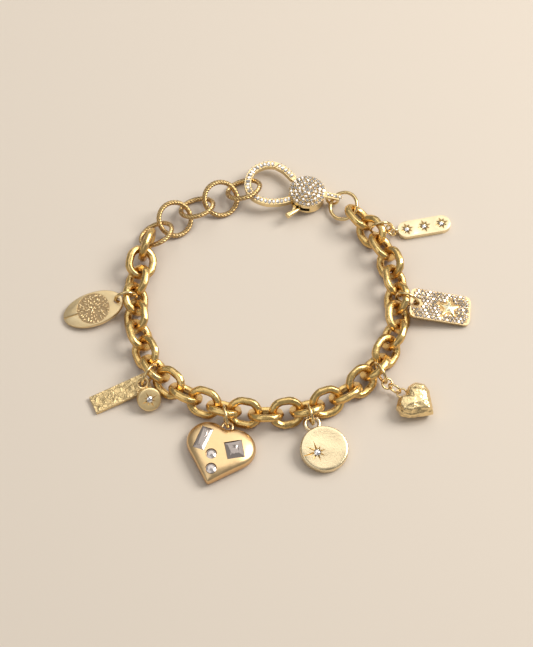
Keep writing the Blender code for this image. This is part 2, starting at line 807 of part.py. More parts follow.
def bar_charm():
    rim = HOLE_DIAMETER / 2.0 + HOLE_MARGIN
    half = BAR_THICKNESS / 2.0
    edge = BAR_THICKNESS / 5.0
    centre = Vector((BAR_LENGTH / 2.0 - rim, -BAR_HOLE_ASIDE))
    outline = [centre + p for p in clipped_rectangle(BAR_LENGTH, BAR_WIDTH, 2.0 * edge)]
    plate = lofted(outline, [(0.0, -half), (0.0, half - edge), (edge, half)], centre)
    veins = bmesh.new()
    start, length = 2.2 * rim, BAR_LENGTH - 3.6 * rim
    for i in range(9):
        for side in (-1, 1):
            share = (i + 0.5 + 0.25 * side) / 9.0
            spot = Vector((start + length * share, centre.y + side * 0.25 * BAR_WIDTH))
            add_leaf(veins, spot, side * math.radians(62.0), 0.36 * BAR_WIDTH, 0.13 * BAR_WIDTH,
                     BAR_RELIEF, edge)
    relief = moved(mesh_from(veins, "veins"), Matrix.Translation((0.0, 0.0, half)))
    hole = cylinder(BAR_HOLE_DIAMETER, -BAR_THICKNESS, BAR_THICKNESS)
    return combine(plate, [("DIFFERENCE", hole), ("UNION", relief)]), {}


def small_disc_charm():
    radius = SMALL_DISC_DIAMETER / 2.0
    eye_outer = SMALL_DISC_EYE_BORE / 2.0 + SMALL_RING_WIRE
    centre = Vector((eye_outer + radius - 0.6 * SMALL_RING_WIRE, 0.0))
    low = -SMALL_RING_WIRE / 2.0
    edge = 0.25 * SMALL_DISC_THICKNESS
    top = low + SMALL_DISC_THICKNESS
    outline = [centre + p for p in circle_points(radius, 24)]
    disc = lofted(outline, [(edge, low), (0.0, low + edge), (0.0, top - edge), (edge, top)], centre)
    depth = 0.3 * SMALL_DISC_THICKNESS
    star = star_cutter([0.62 * radius, 0.45 * radius] * 4, 0.2 * radius, depth, top,
                       tuple(centre), math.radians(4.0))
    stone = bmesh.new()
    add_cut_stone(stone, Matrix.Translation((centre.x, centre.y, top - 0.2 * depth)),
                  0.38 * radius, 1.5 * PAVE_CROWN, depth, sides=8)
    eye = ring_mesh(SMALL_DISC_EYE_BORE, SMALL_RING_WIRE)
    return combine(disc, [("UNION", eye), ("DIFFERENCE", star),
                          ("UNION", mesh_from(stone, "stone"))]), {}


def heart_outline(width, steps, reach):
    """A heart built on a square that stands on its corner, a half circle on each upper side; its
    cleft is at the reach and its tip along X."""
    side = width / (1.0 + 1.0 / math.sqrt(2.0))
    tip = reach + math.sqrt(2.0) * side
    lobe = Vector((math.sqrt(0.125) * side, 3.0 * math.sqrt(0.125) * side))
    half = [Vector((0.10 * side, 0.11 * side)), Vector((0.38 * side, 0.38 * side))]
    for step in range(steps + 1):
        angle = math.pi * (step / steps - 0.25)
        half.append(lobe + side / 2.0 * Vector((math.cos(angle), math.sin(angle))))
    half[-1] = Vector((0.0, half[-2].y - 0.12 * side))
    mirrored = [Vector((-p.x, p.y)) for p in reversed(half[:-1])]
    outline = [Vector((0.0, 0.03 * side)), *half, *mirrored]
    return [Vector((tip - p.y, p.x)) for p in outline]


def heart_charm():
    eye_outer = HEART_EYE_BORE / 2.0 + EYE_WIRE
    reach = eye_outer - 0.7 * EYE_WIRE
    outline = heart_outline(HEART_WIDTH, HEART_LOBE_STEPS, reach)
    centre = Vector((reach + 0.3 * HEART_WIDTH, 0.0))
    top = HEART_THICKNESS / 2.0 - HEART_EYE_RISE
    low = top - HEART_THICKNESS
    body = lofted(outline, [
        (0.4 * HEART_EDGE, low), (0.0, low + 0.4 * HEART_EDGE), (0.0, top - 1.5 * HEART_EDGE),
        (0.35 * HEART_EDGE, top - 0.6 * HEART_EDGE), (1.2 * HEART_EDGE, top - 0.15 * HEART_EDGE),
        (2.2 * HEART_EDGE, top)], centre)
    floor = top - HEART_STONE_DEPTH
    tools, stones = [("UNION", ring_mesh(HEART_EYE_BORE, EYE_WIRE))], {}
    for name, (length, width, along, aside, turn) in HEART_STONES.items():
        spot = Vector((reach + along * HEART_WIDTH, aside * HEART_WIDTH, 0.0))
        place = Matrix.Translation(spot) @ Matrix.Rotation(math.radians(turn), 4, "Z")
        girdle = top - HEART_STONE_DEPTH * 0.35
        if length == width:
            seat = cylinder(width + 2.0 * CLEARANCE, floor, 2.0 * top, 16)
            stone = round_stone(width, HEART_STONE_DEPTH * 0.35, girdle - floor - CLEARANCE)
        else:
            corner = 0.12 * width
            seat_outline = clipped_rectangle(length + 2.0 * CLEARANCE, width + 2.0 * CLEARANCE, corner)
            seat = lofted(seat_outline, [(0.0, floor), (0.0, 2.0 * top)])
            stone = step_stone(length, width, corner, HEART_STONE_DEPTH * 0.35,
                               girdle - floor - CLEARANCE)
        tools.append(("DIFFERENCE", moved(seat, place)))
        stones[name] = moved(stone, place @ Matrix.Translation((0.0, 0.0, girdle)))
    return combine(body, tools), stones


def disc_charm():
    radius = DISC_DIAMETER / 2.0
    eye_outer = DISC_EYE_BORE / 2.0 + BIG_EYE_WIRE
    centre = Vector((eye_outer + radius - 0.9 * BIG_EYE_WIRE, 0.0))
    outline = []
    for p in circle_points(radius, 32):
        angle = math.atan2(p.y, p.x)
        wander = sum(share * math.sin(lobes * angle + start) for lobes, share, start in DISC_WANDER)
        outline.append(centre + p * (1.0 + wander))
    low, top = -DISC_THICKNESS / 2.0, DISC_THICKNESS / 2.0
    body = lofted(outline, [
        (DISC_EDGE, low), (0.0, low + DISC_EDGE), (0.2 * DISC_EDGE, top - DISC_EDGE),
        (1.4 * DISC_EDGE, top)], centre)
    spot = centre + Vector((0.024 * DISC_DIAMETER, -0.174 * DISC_DIAMETER))
    depth = 0.35 * DISC_THICKNESS
    rays = [share * DISC_STONE for share in DISC_RAYS]
    star = star_cutter(rays, 0.42 * DISC_STONE, 0.5 * depth, top, tuple(spot), math.radians(175.5))
    seat = cylinder(DISC_STONE + 2.0 * CLEARANCE, top - depth, 2.0 * top, 16, tuple(spot))
    girdle = top - 0.4 * depth
    stone = moved(round_stone(DISC_STONE, 0.4 * depth, girdle - (top - depth) - CLEARANCE),
                  Matrix.Translation((spot.x, spot.y, girdle)))
    eye = ring_mesh(DISC_EYE_BORE, BIG_EYE_WIRE, 14)
    return combine(body, [("UNION", eye), ("DIFFERENCE", star), ("DIFFERENCE", seat)]), \
        {"disc_stone": stone}


def small_heart_charm():
    eye_outer = SMALL_HEART_EYE_BORE / 2.0 + SMALL_RING_WIRE
    reach = eye_outer - 0.7 * SMALL_RING_WIRE
    outline = heart_outline(SMALL_HEART_WIDTH, 4, reach)
    centre = Vector((reach + 0.3 * SMALL_HEART_WIDTH, 0.0))
    half = SMALL_HEART_THICKNESS / 2.0
    edge = SMALL_HEART_WIDTH / 9.0
    body = lofted(outline, [(1.1 * edge, -half), (0.0, -0.25 * half), (0.1 * edge, 0.3 * half),
                            (1.0 * edge, 0.85 * half), (2.6 * edge, half)], centre)
    return combine(body, [("UNION", ring_mesh(SMALL_HEART_EYE_BORE, SMALL_RING_WIRE))]), {}


def tag_charm():
    rim = HOLE_DIAMETER / 2.0 + HOLE_MARGIN
    half = TAG_THICKNESS / 2.0
    centre = Vector((TAG_LENGTH / 2.0 - rim, 0.0))
    outline = [centre + p for p in rounded_rectangle(TAG_LENGTH, TAG_WIDTH, TAG_CORNER)]
    edge = TAG_THICKNESS / 6.0
    plate = lofted(outline, [(edge, -half), (0.0, edge - half), (0.0, half)], centre)
    star_centre = centre + Vector((0.14 * TAG_LENGTH, 0.0))
    star_outline = []
    for i in range(10):
        reach = TAG_STAR if i % 2 == 0 else 0.42 * TAG_STAR
        angle = math.pi * i / 5.0 + math.radians(18.0)
        star_outline.append(star_centre + reach * Vector((math.cos(angle), math.sin(angle))))
    star = lofted(star_outline, [(0.0, 0.0), (0.0, half + 0.3 * TAG_STAR_RISE),
                                 (0.8 * TAG_STAR * 0.42, half + TAG_STAR_RISE)], star_centre)
    pitch = PAVE_STONE + PAVE_GAP
    columns = int((TAG_LENGTH - pitch / 2.0) / pitch)
    rows = int((TAG_WIDTH - pitch / 2.0) / pitch)
    spots = []
    for column in range(columns):
        for row in range(rows):
            spot = centre + Vector(((column - (columns - 1) / 2.0) * pitch,
                                    (row - (rows - 1) / 2.0) * pitch))
            from_corner = Vector((TAG_LENGTH / 2.0 - abs(spot.x - centre.x),
                                  TAG_WIDTH / 2.0 - abs(spot.y)))
            if spot.length < rim + PAVE_STONE / 2.0 - HOLE_MARGIN / 2.0:
                continue
            if from_corner.x + from_corner.y < TAG_CORNER + 0.4 * PAVE_STONE:
                continue
            if inside_star(spot - star_centre, PAVE_STONE / 2.0):
                continue
            spots.append(Matrix.Translation((spot.x, spot.y, half)) @ Matrix.Rotation(
                math.pi / 4.0, 4, "Z"))
    hole = cylinder(HOLE_DIAMETER, -TAG_THICKNESS, TAG_THICKNESS)
    return combine(plate, [("DIFFERENCE", hole), ("UNION", star),
                           ("UNION", pave(spots, edge))]), {}


def inside_star(spot, margin):
    """Whether a stone at this place would touch the raised star."""
    angle = (math.degrees(math.atan2(spot.y, spot.x)) - 18.0) % 72.0
    share = abs(angle - 36.0) / 36.0
    reach = TAG_STAR * (0.42 + 0.58 * share ** 2.5)
    return spot.length < reach + margin * 1.25


def pill_charm():
    half = PILL_THICKNESS / 2.0
    edge = PILL_THICKNESS / 5.0
    eye_outer = PILL_EYE_BORE / 2.0 + SMALL_RING_WIRE
    reach = eye_outer - 0.7 * SMALL_RING_WIRE
    centre = Vector((reach + PILL_LENGTH / 2.0, 0.0))
    outline = [centre + p for p in
               rounded_rectangle(PILL_LENGTH, PILL_WIDTH, 0.49 * PILL_WIDTH, 6)]
    top = half - PILL_EYE_RISE
    plate = lofted(outline, [(edge, top - 2.0 * half), (0.0, top + edge - 2.0 * half),
                             (0.0, top - edge), (edge, top)], centre)
    eye = moved(ring_mesh(PILL_EYE_BORE, SMALL_RING_WIRE), Matrix.Rotation(math.pi / 2.0, 4, "X"))
    tools = [("UNION", eye)]
    stones = bmesh.new()
    depth = 0.3 * PILL_THICKNESS
    for i in (-1, 0, 1):
        spot = centre + Vector((i * PILL_STAR_PITCH, 0.0))
        tools.append(("DIFFERENCE", star_cutter([PILL_STAR, 0.8 * PILL_STAR] * 4, 0.45 * PILL_STAR,
                                                depth, top, tuple(spot), math.radians(10.0))))
        add_cut_stone(stones, Matrix.Translation((spot.x, spot.y, top - 0.4 * depth)),
                      0.6 * PILL_STAR, 0.5 * depth, depth, sides=8)
    tools.append(("UNION", mesh_from(stones, "stones")))
    return combine(plate, tools), {}


# Hanging


def heading_vector(degrees):
    angle = math.radians(degrees)
    return Vector((math.cos(angle), math.sin(angle), 0.0))


def ring_place(centre, across, along):
    """A ring's matrix from its centre and two directions in its plane."""
    x = along.normalized()
    z = x.cross(across).normalized()
    return Matrix.Translation(centre) @ Matrix((x, z.cross(x), z)).transposed().to_4x4()


def charm_place(hole, heading, tilt):
    forward = heading_vector(heading)
    x = math.cos(tilt) * forward - math.sin(tilt) * UP
    y = UP.cross(forward)
    return Matrix.Translation(hole) @ Matrix((x, y, x.cross(y))).transposed().to_4x4()


def lowest(meshes, place):
    return min((place @ vert.co).z for mesh in meshes for vert in mesh.vertices)


def settle(meshes, hole, heading):
    """Tilts a charm about its hole until its lowest point meets the floor."""
    low, high = 0.0, math.radians(60.0)
    for _ in range(40):
        tilt = (low + high) / 2.0
        if lowest(meshes, charm_place(hole, heading, tilt)) > 0.0:
            low = tilt
        else:
            high = tilt
    return charm_place(hole, heading, low)


# Charms hung straight on a ring: maker, ring, heading, and the hole's place down the ring
CHARMS = [
    ("oval_tree_charm", oval_charm, "jump_ring_oval", 196.0, 30.0, GOLD),
    ("bar_charm", bar_charm, "jump_ring_bar", 204.0, 39.0, GOLD),
    ("small_disc_charm", small_disc_charm, "jump_ring_bar", -64.0, -10.0, GOLD),
    ("heart_charm", heart_charm, "jump_ring_heart", -108.0, None, ROSE_GOLD),
    ("disc_charm", disc_charm, "jump_ring_disc", -66.0, 45.0, PALE_GOLD),
    ("tag_charm", tag_charm, "jump_ring_tag", -5.2, 25.0, PALE_GOLD),
]


def build_chain():
    """Extender, chain, plain ring and clasp, closed on themselves. Returns each link's frame."""
    hook_points = hook_line()
    contact = hook_points[HOOK_CONTACT].lerp(hook_points[HOOK_CONTACT + 1], HOOK_CONTACT_SHARE)
    tail = Vector((tail_eye_along, 0.0))
    clasp_span = (contact - tail).length
    last_extender = extender_pitch / 2.0 + EXTENDER_HOOK_OFFSET
    ring_half = (CLASP_RING_BORE - CLASP_RING_SLACK) / 2.0
    ring_span = ring_half + clasp_ring_radius

    spans = [last_extender] + [extender_pitch] * (EXTENDER_COUNT - 1) \
        + [link_pitch - STANDING_LINK_SLACK] + [link_pitch] * (LINK_COUNT - 1) \
        + [ring_span, clasp_span]
    first_link = EXTENDER_COUNT
    hook_height = band_middle + HOOK_LIFT
    heights = [extender_height] * EXTENDER_COUNT \
        + [(extender_height + standing_height) / 2.0, standing_height] \
        + [link_height] * (LINK_COUNT - 1) + [band_middle + TAIL_LIFT]
    steps = [math.sqrt(span ** 2 - (after - before) ** 2)
             for span, before, after in zip(spans, heights, heights[1:] + [hook_height])]
    joints = [Vector((flat.x, flat.y, height))
              for flat, height in zip(closed_joints(steps), heights)]
    joints.append(Vector((joints[0].x, joints[0].y, hook_height)))

    extender = wire_curve("extender_ring", circle_points(extender_radius, EXTENDER_SIDES),
                          EXTENDER_WIRE)
    for i in range(EXTENDER_COUNT):
        number = EXTENDER_COUNT - i
        roll = EXTENDER_ROLL if number % 2 == 1 else -EXTENDER_ROLL
        start, end = joints[i], joints[i + 1]
        frame, _ = frame_between(start, end, roll)
        centre = end + (start - end).normalized() * extender_pitch / 2.0
        ring = add_object(f"extender_ring_{number}", extender.copy(), GOLD)
        ring.matrix_world = Matrix.Translation(centre) @ frame

    link = wire_curve("chain_link", link_outline(), LINK_WIRE)
    links = {}
    for i in range(LINK_COUNT):
        number = i + 1
        roll = LINK_ROLL if number % 2 == 1 else -LINK_ROLL
        roll = {1: STANDING_LINK_ROLL, 2: LEANING_LINK_ROLL}.get(number, roll)
        start, end = joints[first_link + i], joints[first_link + i + 1]
        if number == 1:
            level = Vector((start.x, start.y, end.z))
            start = end + (level - end).normalized() * link_pitch
        frame, outward = frame_between(start, end, roll)
        frame = Matrix.Translation((start + end) / 2.0) @ frame
        obj = add_object(f"chain_link_{number:02d}", link.copy(), GOLD)
        obj.matrix_world = frame
        links[number] = (frame, outward)

    ring_start, ring_end = joints[first_link + LINK_COUNT], joints[first_link + LINK_COUNT + 1]
    frame, _ = frame_between(ring_start, ring_end, CLASP_RING_ROLL)
    centre = ring_start + (ring_end - ring_start).normalized() * ring_half
    ring = wire_curve("clasp_ring", circle_points(clasp_ring_radius, 16), CLASP_RING_WIRE)
    add_object("clasp_ring", ring, GOLD).matrix_world = Matrix.Translation(centre) @ frame

    frame, _ = frame_between(joints[-2], joints[-1], CLASP_ROLL)
    reach = contact - tail
    place = Matrix.Translation(joints[-2]) @ frame \
        @ Matrix.Rotation(-math.atan2(reach.y, reach.x), 4, "Z") \
        @ Matrix.Translation((-tail_eye_along, 0.0, -band_middle))
    body, gate = clasp_meshes()
    pivot = Vector((PIVOT_ALONG, PIVOT_ASIDE, band_middle))
    gate.transform(Matrix.Translation(-pivot))
    add_object("clasp_body", body, GOLD).matrix_world = place
    add_object("clasp_gate", gate, GOLD).matrix_world = place @ Matrix.Translation(pivot)
    return links


def link_outline():
    """A link's middle line: two half circles joined by short straights."""
    straight = (link_length - link_width) / 2.0
    points = []
    for side in (1.0, -1.0):
        for degrees in (-60.0, -30.0, 0.0, 30.0, 60.0):
            angle = math.radians(degrees)
            points.append(Vector((side * (straight + link_spread * math.cos(angle)),
                                  side * link_spread * math.sin(angle))))
        points.append(Vector((0.0, side * link_spread)))
    return points


def hang_rings(links):
    """Puts each jump ring round the high outer side of its link; returns centres and headings."""
    hung = {}
    for name, number, bore, wire, turn in RINGS:
        frame, outward = links[number]
        along = frame.col[0].to_3d()
        high_side = -frame.col[1].to_3d()
        yaw = math.radians(turn)
        way = math.cos(yaw) * outward + math.sin(yaw) * Vector((along.x, along.y, 0.0)).normalized()
        shift = 0.8 * link_spread * math.cos(math.radians(LINK_ROLL)) * math.tan(yaw)
        point = frame.translation + high_side * link_spread + along * shift
        slide = bore / 2.0 * flat_share - LINK_WIRE / 2.0 - CLEARANCE
        lean = math.radians(RING_LEAN)
        centre = point + slide * (math.cos(lean) * way - math.sin(lean) * UP)
        ring = wire_curve(name, circle_points((bore + wire) / 2.0, JUMP_SIDES), wire)
        add_object(name, ring, GOLD).matrix_world = ring_place(centre, UP, way)
        hung[name] = (centre, way, bore, wire)
    return hung


def hang_charms(hung):
    for name, make, ring, heading, drop, colour in CHARMS:
        centre, way, bore, wire = hung[ring]
        radius = (bore + wire) / 2.0
        mesh, stones = make()
        if drop is None:
            height = -min(vert.co.z for vert in mesh.vertices)
            angle = math.asin(min(1.0, (centre.z - height) / radius))
        else:
            angle = math.radians(drop)
        hole = centre + radius * (math.cos(angle) * way - math.sin(angle) * UP)
        place = settle([mesh], hole, heading)
        add_object(name, smooth(mesh), colour).matrix_world = place
        for stone, data in stones.items():
            add_object(stone, data, SMOKY_CRYSTAL, 0.05, 0.0).matrix_world = place


def hang_chainlet(hung, ring, pieces, make, name, heading, bore, colour):
    """A charm on a run of small rings: each ring lies crosswise to the last, drawn tight."""
    centre, last_way, last_bore, _ = hung[ring]
    last_upright = True
    for piece, ring_bore, turn, drop in pieces:
        way = Matrix.Rotation(math.radians(turn), 3, "Z") @ last_way
        angle = math.radians(drop)
        leaving = last_way if last_upright else way
        centre = centre + tight_reach(leaving, angle, last_bore) + tight_reach(way, angle, ring_bore)
        across = UP.cross(way) if last_upright else UP
        curve = wire_curve(piece, circle_points((ring_bore + SMALL_RING_WIRE) / 2.0, JUMP_SIDES),
                           SMALL_RING_WIRE)
        step = math.cos(angle) * way - math.sin(angle) * UP
        add_object(piece, curve, colour).matrix_world = ring_place(centre, across, step)
        last_bore, last_way, last_upright = ring_bore, way, not last_upright
    mesh, _ = make()
    height = -min(vert.co.z for vert in mesh.vertices)
    run = (last_bore + bore) / 2.0 * flat_share - 1.5 * CLEARANCE
    fall = min(STEEPEST_FALL, (centre.z - height) / run)
    leaving = last_way if last_upright else heading_vector(heading)
    hole = centre + run * (math.sqrt(1.0 - fall ** 2) * leaving - fall * UP)
    place = settle([mesh], hole, heading)
    add_object(name, smooth(mesh), colour).matrix_world = place


def tight_reach(way, angle, bore):
    """From the middle of a ring to where it bears on the next one."""
    return (bore / 2.0 * flat_share - 0.75 * CLEARANCE) * (math.cos(angle) * way
                                                          - math.sin(angle) * UP)


def centre_on_floor():
    """Moves everything so that the whole part stands on Z = 0 about the origin."""
    bpy.context.view_layer.update()
    graph = bpy.context.evaluated_depsgraph_get()
    low, high = Vector((1e9,) * 3), Vector((-1e9,) * 3)
    for obj in bracelet.objects:
        evaluated = obj.evaluated_get(graph)
        mesh = evaluated.to_mesh()
        for vert in mesh.vertices:
            spot = evaluated.matrix_world @ vert.co
            low = Vector(map(min, low, spot))
            high = Vector(map(max, high, spot))
        evaluated.to_mesh_clear()
    shift = Vector((-(low.x + high.x) / 2.0, -(low.y + high.y) / 2.0, -low.z))
    for obj in bracelet.objects:
        obj.matrix_world = Matrix.Translation(shift) @ obj.matrix_world


clear_scene()
bracelet = new_collection("charm_bracelet")
cutters = new_collection("cutters", hidden=True)
chain_links = build_chain()
rings_hung = hang_rings(chain_links)
hang_charms(rings_hung)
hang_chainlet(rings_hung, "jump_ring_small_heart", SMALL_HEART_RINGS, small_heart_charm,
              "small_heart_charm", SMALL_HEART_HEADING, SMALL_HEART_EYE_BORE, GOLD)
hang_chainlet(rings_hung, "jump_ring_pill", PILL_RINGS, pill_charm, "pill_charm", PILL_HEADING,
              PILL_EYE_BORE, PALE_GOLD)
centre_on_floor()
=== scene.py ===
import math
import random

import bmesh
import bpy
import numpy as np
from mathutils import Matrix, Vector


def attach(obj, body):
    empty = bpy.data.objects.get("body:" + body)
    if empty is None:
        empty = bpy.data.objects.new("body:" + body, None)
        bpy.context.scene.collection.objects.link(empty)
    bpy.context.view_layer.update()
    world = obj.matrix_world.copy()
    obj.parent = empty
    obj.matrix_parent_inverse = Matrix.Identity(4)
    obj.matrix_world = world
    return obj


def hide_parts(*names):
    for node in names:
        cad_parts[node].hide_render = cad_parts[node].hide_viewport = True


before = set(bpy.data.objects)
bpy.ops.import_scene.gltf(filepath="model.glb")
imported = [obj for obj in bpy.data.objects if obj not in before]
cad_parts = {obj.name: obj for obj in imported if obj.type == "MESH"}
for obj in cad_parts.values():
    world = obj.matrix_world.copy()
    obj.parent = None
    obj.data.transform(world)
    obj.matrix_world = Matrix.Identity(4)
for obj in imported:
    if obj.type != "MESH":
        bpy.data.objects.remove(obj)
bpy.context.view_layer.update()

# The surface that the bracelet is photographed on: smooth pale paper, lit by a soft light from
# the right, a wide gentle one from above and behind, and a weak one from the viewer's left. The
# camera looks down at it from a steep angle, from far away.
VIEW_ELEVATION = 61.5
VIEW_DISTANCE = 0.620
VIEW_LENS = 148.3
VIEW_TARGET = Vector((-0.00023, -0.00056, 0.0))

camera_data = bpy.data.cameras.new("camera")
camera_data.lens = VIEW_LENS
camera_data.clip_end = 10.0
camera = bpy.data.objects.new("camera", camera_data)
bpy.context.scene.collection.objects.link(camera)
elevation = math.radians(VIEW_ELEVATION)
camera.location = VIEW_TARGET + VIEW_DISTANCE * Vector((0.0, -math.cos(elevation), math.sin(elevation)))
camera.rotation_euler = (math.pi / 2.0 - elevation, 0.0, 0.0)
bpy.context.scene.camera = camera
bpy.context.scene.view_settings.view_transform = "Standard"


def soft_light(name, place, size, watts, colour):
    """A square soft box that faces the bracelet."""
    data = bpy.data.lights.new(name, "AREA")
    data.size = size
    data.energy = watts
    data.color = colour
    light = bpy.data.objects.new(name, data)
    bpy.context.scene.collection.objects.link(light)
    light.location = place
    light.rotation_euler = Vector(place).to_track_quat("Z", "Y").to_euler()


soft_light("key_light", (0.55, 0.20, 0.58), 0.42, 5.6, (1.0, 0.97, 0.93))
soft_light("top_light", (0.0, 0.50, 0.80), 0.85, 2.6, (1.0, 0.98, 0.95))
soft_light("fill_light", (-0.42, -0.30, 0.80), 0.70, 1.2, (1.0, 0.98, 0.96))

world = bpy.data.worlds.new("room")
bpy.context.scene.world = world
world.use_nodes = True
world.node_tree.nodes["Background"].inputs["Color"].default_value = (0.93, 0.90, 0.87, 1.0)
world.node_tree.nodes["Background"].inputs["Strength"].default_value = 0.27

bpy.ops.object.select_all(action="DESELECT")
bpy.ops.mesh.primitive_plane_add(size=3.0)
paper = bpy.context.active_object
paper.name = "paper"
paper_finish = bpy.data.materials.new("paper")
paper_finish.use_nodes = True
paper_shader = paper_finish.node_tree.nodes["Principled BSDF"]
paper_shader.inputs["Base Color"].default_value = (0.735, 0.655, 0.560, 1.0)
paper_shader.inputs["Roughness"].default_value = 0.95
paper_shader.inputs["Specular IOR Level"].default_value = 0.1
paper.data.materials.append(paper_finish)


# The main chain: cable links bent from round wire and soldered, then hammered and filed so that
# they carry irregular flats. Gold plated, with painted highlight on the high spots and painted
# shade in the folds and underneath.
LINK_WIRE = 0.00175
LINK_SPREAD = 0.00285
LINK_STRAIGHT = 0.000485
LINK_COUNT = 29
LINK_GOLD = (0.82, 0.56, 0.20)
LINK_RADIUS_SHARE = 0.545
LINK_DENTS = 0.00007
LINK_FLATS = 0.00013


def alone(obj):
    """Selects one object and nothing else."""
    bpy.ops.object.select_all(action="DESELECT")
    obj.select_set(True)
    bpy.context.view_layer.objects.active = obj


def start_piece(name):
    """Names the primitive that was just added and makes it the one selected object."""
    piece = bpy.context.active_object
    piece.name = name
    piece.data.name = name
    alone(piece)
    return piece


def pick(piece, test):
    """Selects the vertices of an open piece that pass a test on their place, with their edges."""
    bpy.ops.mesh.select_mode(type="VERT")
    bpy.ops.mesh.select_all(action="DESELECT")
    bm = bmesh.from_edit_mesh(piece.data)
    for vert in bm.verts:
        vert.select_set(test(vert.co))
    bm.select_flush_mode()
    bmesh.update_edit_mesh(piece.data)


def work(piece, kind, **settings):
    """Adds a modifier, sets it and applies it."""
    alone(piece)
    modifier = piece.modifiers.new(kind.title(), kind)
    for key, value in settings.items():
        setattr(modifier, key, value)
    bpy.ops.object.modifier_apply(modifier=modifier.name)


def lie_of(node):
    """How a wire ring or link lies: a matrix with X its long way, Z its normal."""
    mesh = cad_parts[node].data
    points = np.empty(3 * len(mesh.vertices))
    mesh.vertices.foreach_get("co", points)
    points = np.unique(points.reshape(-1, 3).round(7), axis=0)
    middle = points.mean(axis=0)
    _, ways = np.linalg.eigh(np.cov((points - middle).T))
    normal, along = Vector(ways[:, 0]), Vector(ways[:, 2])
    if normal.z < 0.0:
        normal = -normal
    side = normal.cross(along)
    return Matrix.Translation(Vector(middle)) @ Matrix((along, side, normal)).transposed().to_4x4()


def put(model, name, place, node, finish, body="bracelet"):
    """A copy of a model with its own mesh, laid in place, standing for one CAD node."""
    piece = model.copy()
    piece.data = model.data.copy()
    piece.name = name
    piece.data.name = name
    bpy.context.scene.collection.objects.link(piece)
    piece.data.transform(place)
    piece.data.materials.clear()
    piece.data.materials.append(finish)
    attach(piece, body)
    if node:
        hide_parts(node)
    return piece


def ranged(tree, source, start, end, low, high):
    """Takes a value from one range to another, in a material's nodes."""
    node = tree.nodes.new("ShaderNodeMapRange")
    for name, value in (("From Min", start), ("From Max", end), ("To Min", low), ("To Max", high)):
        node.inputs[name].default_value = value
    tree.links.new(source, node.inputs["Value"])
    return node.outputs["Result"]


def tinted(tree, share, colour, tint):
    """Mixes a share of a tint into a colour, in a material's nodes."""
    node = tree.nodes.new("ShaderNodeMix")
    node.data_type = "RGBA"
    node.inputs["B"].default_value = (*tint, 1.0)
    tree.links.new(share, node.inputs["Factor"])
    tree.links.new(colour, node.inputs["A"])
    return node.outputs["Result"]


def gold_finish(name, colour, roughness, grain, depth, patch=0.10, wear_and_painted_highlight=0.35, painted_crease_shade=0.3, painted_underside_shade=0.0):
    """Plated gold with a brushed or cast grain: painted highlight on edges, painted shade in folds and
    underneath.
    """
    material = bpy.data.materials.new(name)
    material.use_nodes = True
    tree = material.node_tree
    nodes, links = tree.nodes, tree.links
    shader = nodes["Principled BSDF"]
    shader.inputs["Metallic"].default_value = 1.0
    place = nodes.new("ShaderNodeTexCoord")
    clouds = nodes.new("ShaderNodeTexNoise")
    clouds.inputs["Scale"].default_value = 900.0
    clouds.inputs["Detail"].default_value = 3.0
    links.new(place.outputs["Object"], clouds.inputs["Vector"])
    tone = nodes.new("ShaderNodeValToRGB")
    tone.color_ramp.elements[0].position = 0.3
    tone.color_ramp.elements[1].position = 0.75
    tone.color_ramp.elements[0].color = (*(c * (1.0 - patch) for c in colour), 1.0)
    tone.color_ramp.elements[1].color = (*(min(1.0, c * (1.0 + patch)) for c in colour), 1.0)
    links.new(clouds.outputs["Fac"], tone.inputs["Fac"])
    edge = nodes.new("ShaderNodeNewGeometry")
    pointed = edge.outputs["Pointiness"]
    # Painted highlight: a paler tint on sharp edges and ridges, where light catches them.
    with_painted_highlight = tinted(tree, ranged(tree, pointed, 0.5, 0.62, 0.0, wear_and_painted_highlight), tone.outputs["Color"],
                    (1.0, 0.86, 0.58))
    # Painted shade: a dark brown tint in creases and on faces that turn downwards, where shade falls.
    facing = nodes.new("ShaderNodeSeparateXYZ")
    links.new(edge.outputs["Normal"], facing.inputs["Vector"])
    painted_shade_share = nodes.new("ShaderNodeMath")
    painted_shade_share.operation = "MAXIMUM"
    links.new(ranged(tree, pointed, 0.43, 0.50, painted_crease_shade, 0.0), painted_shade_share.inputs[0])
    links.new(ranged(tree, facing.outputs["Z"], -0.2, 0.65, painted_underside_shade, 0.0), painted_shade_share.inputs[1])
    with_painted_shade = tinted(tree, painted_shade_share.outputs["Value"], with_painted_highlight,
                  (0.50 * colour[0], 0.32 * colour[1], 0.15 * colour[2]))
    links.new(with_painted_shade, shader.inputs["Base Color"])
    rough = ranged(tree, clouds.outputs["Fac"], 0.0, 1.0, max(0.04, roughness - 0.08), roughness + 0.08)
    links.new(rough, shader.inputs["Roughness"])
    fine = nodes.new("ShaderNodeTexNoise")
    fine.inputs["Scale"].default_value = grain
    fine.inputs["Detail"].default_value = 4.0
    links.new(place.outputs["Object"], fine.inputs["Vector"])
    bump = nodes.new("ShaderNodeBump")
    bump.inputs["Strength"].default_value = 1.0
    bump.inputs["Distance"].default_value = depth
    links.new(fine.outputs["Fac"], bump.inputs["Height"])
    links.new(bump.outputs["Normal"], shader.inputs["Normal"])
    return material


# The chain's gold carries strong painted shade on its undersides.
chain_finish = gold_finish("chain_gold", LINK_GOLD, 0.28, 2600.0, 0.00003, 0.14, painted_underside_shade=0.7)

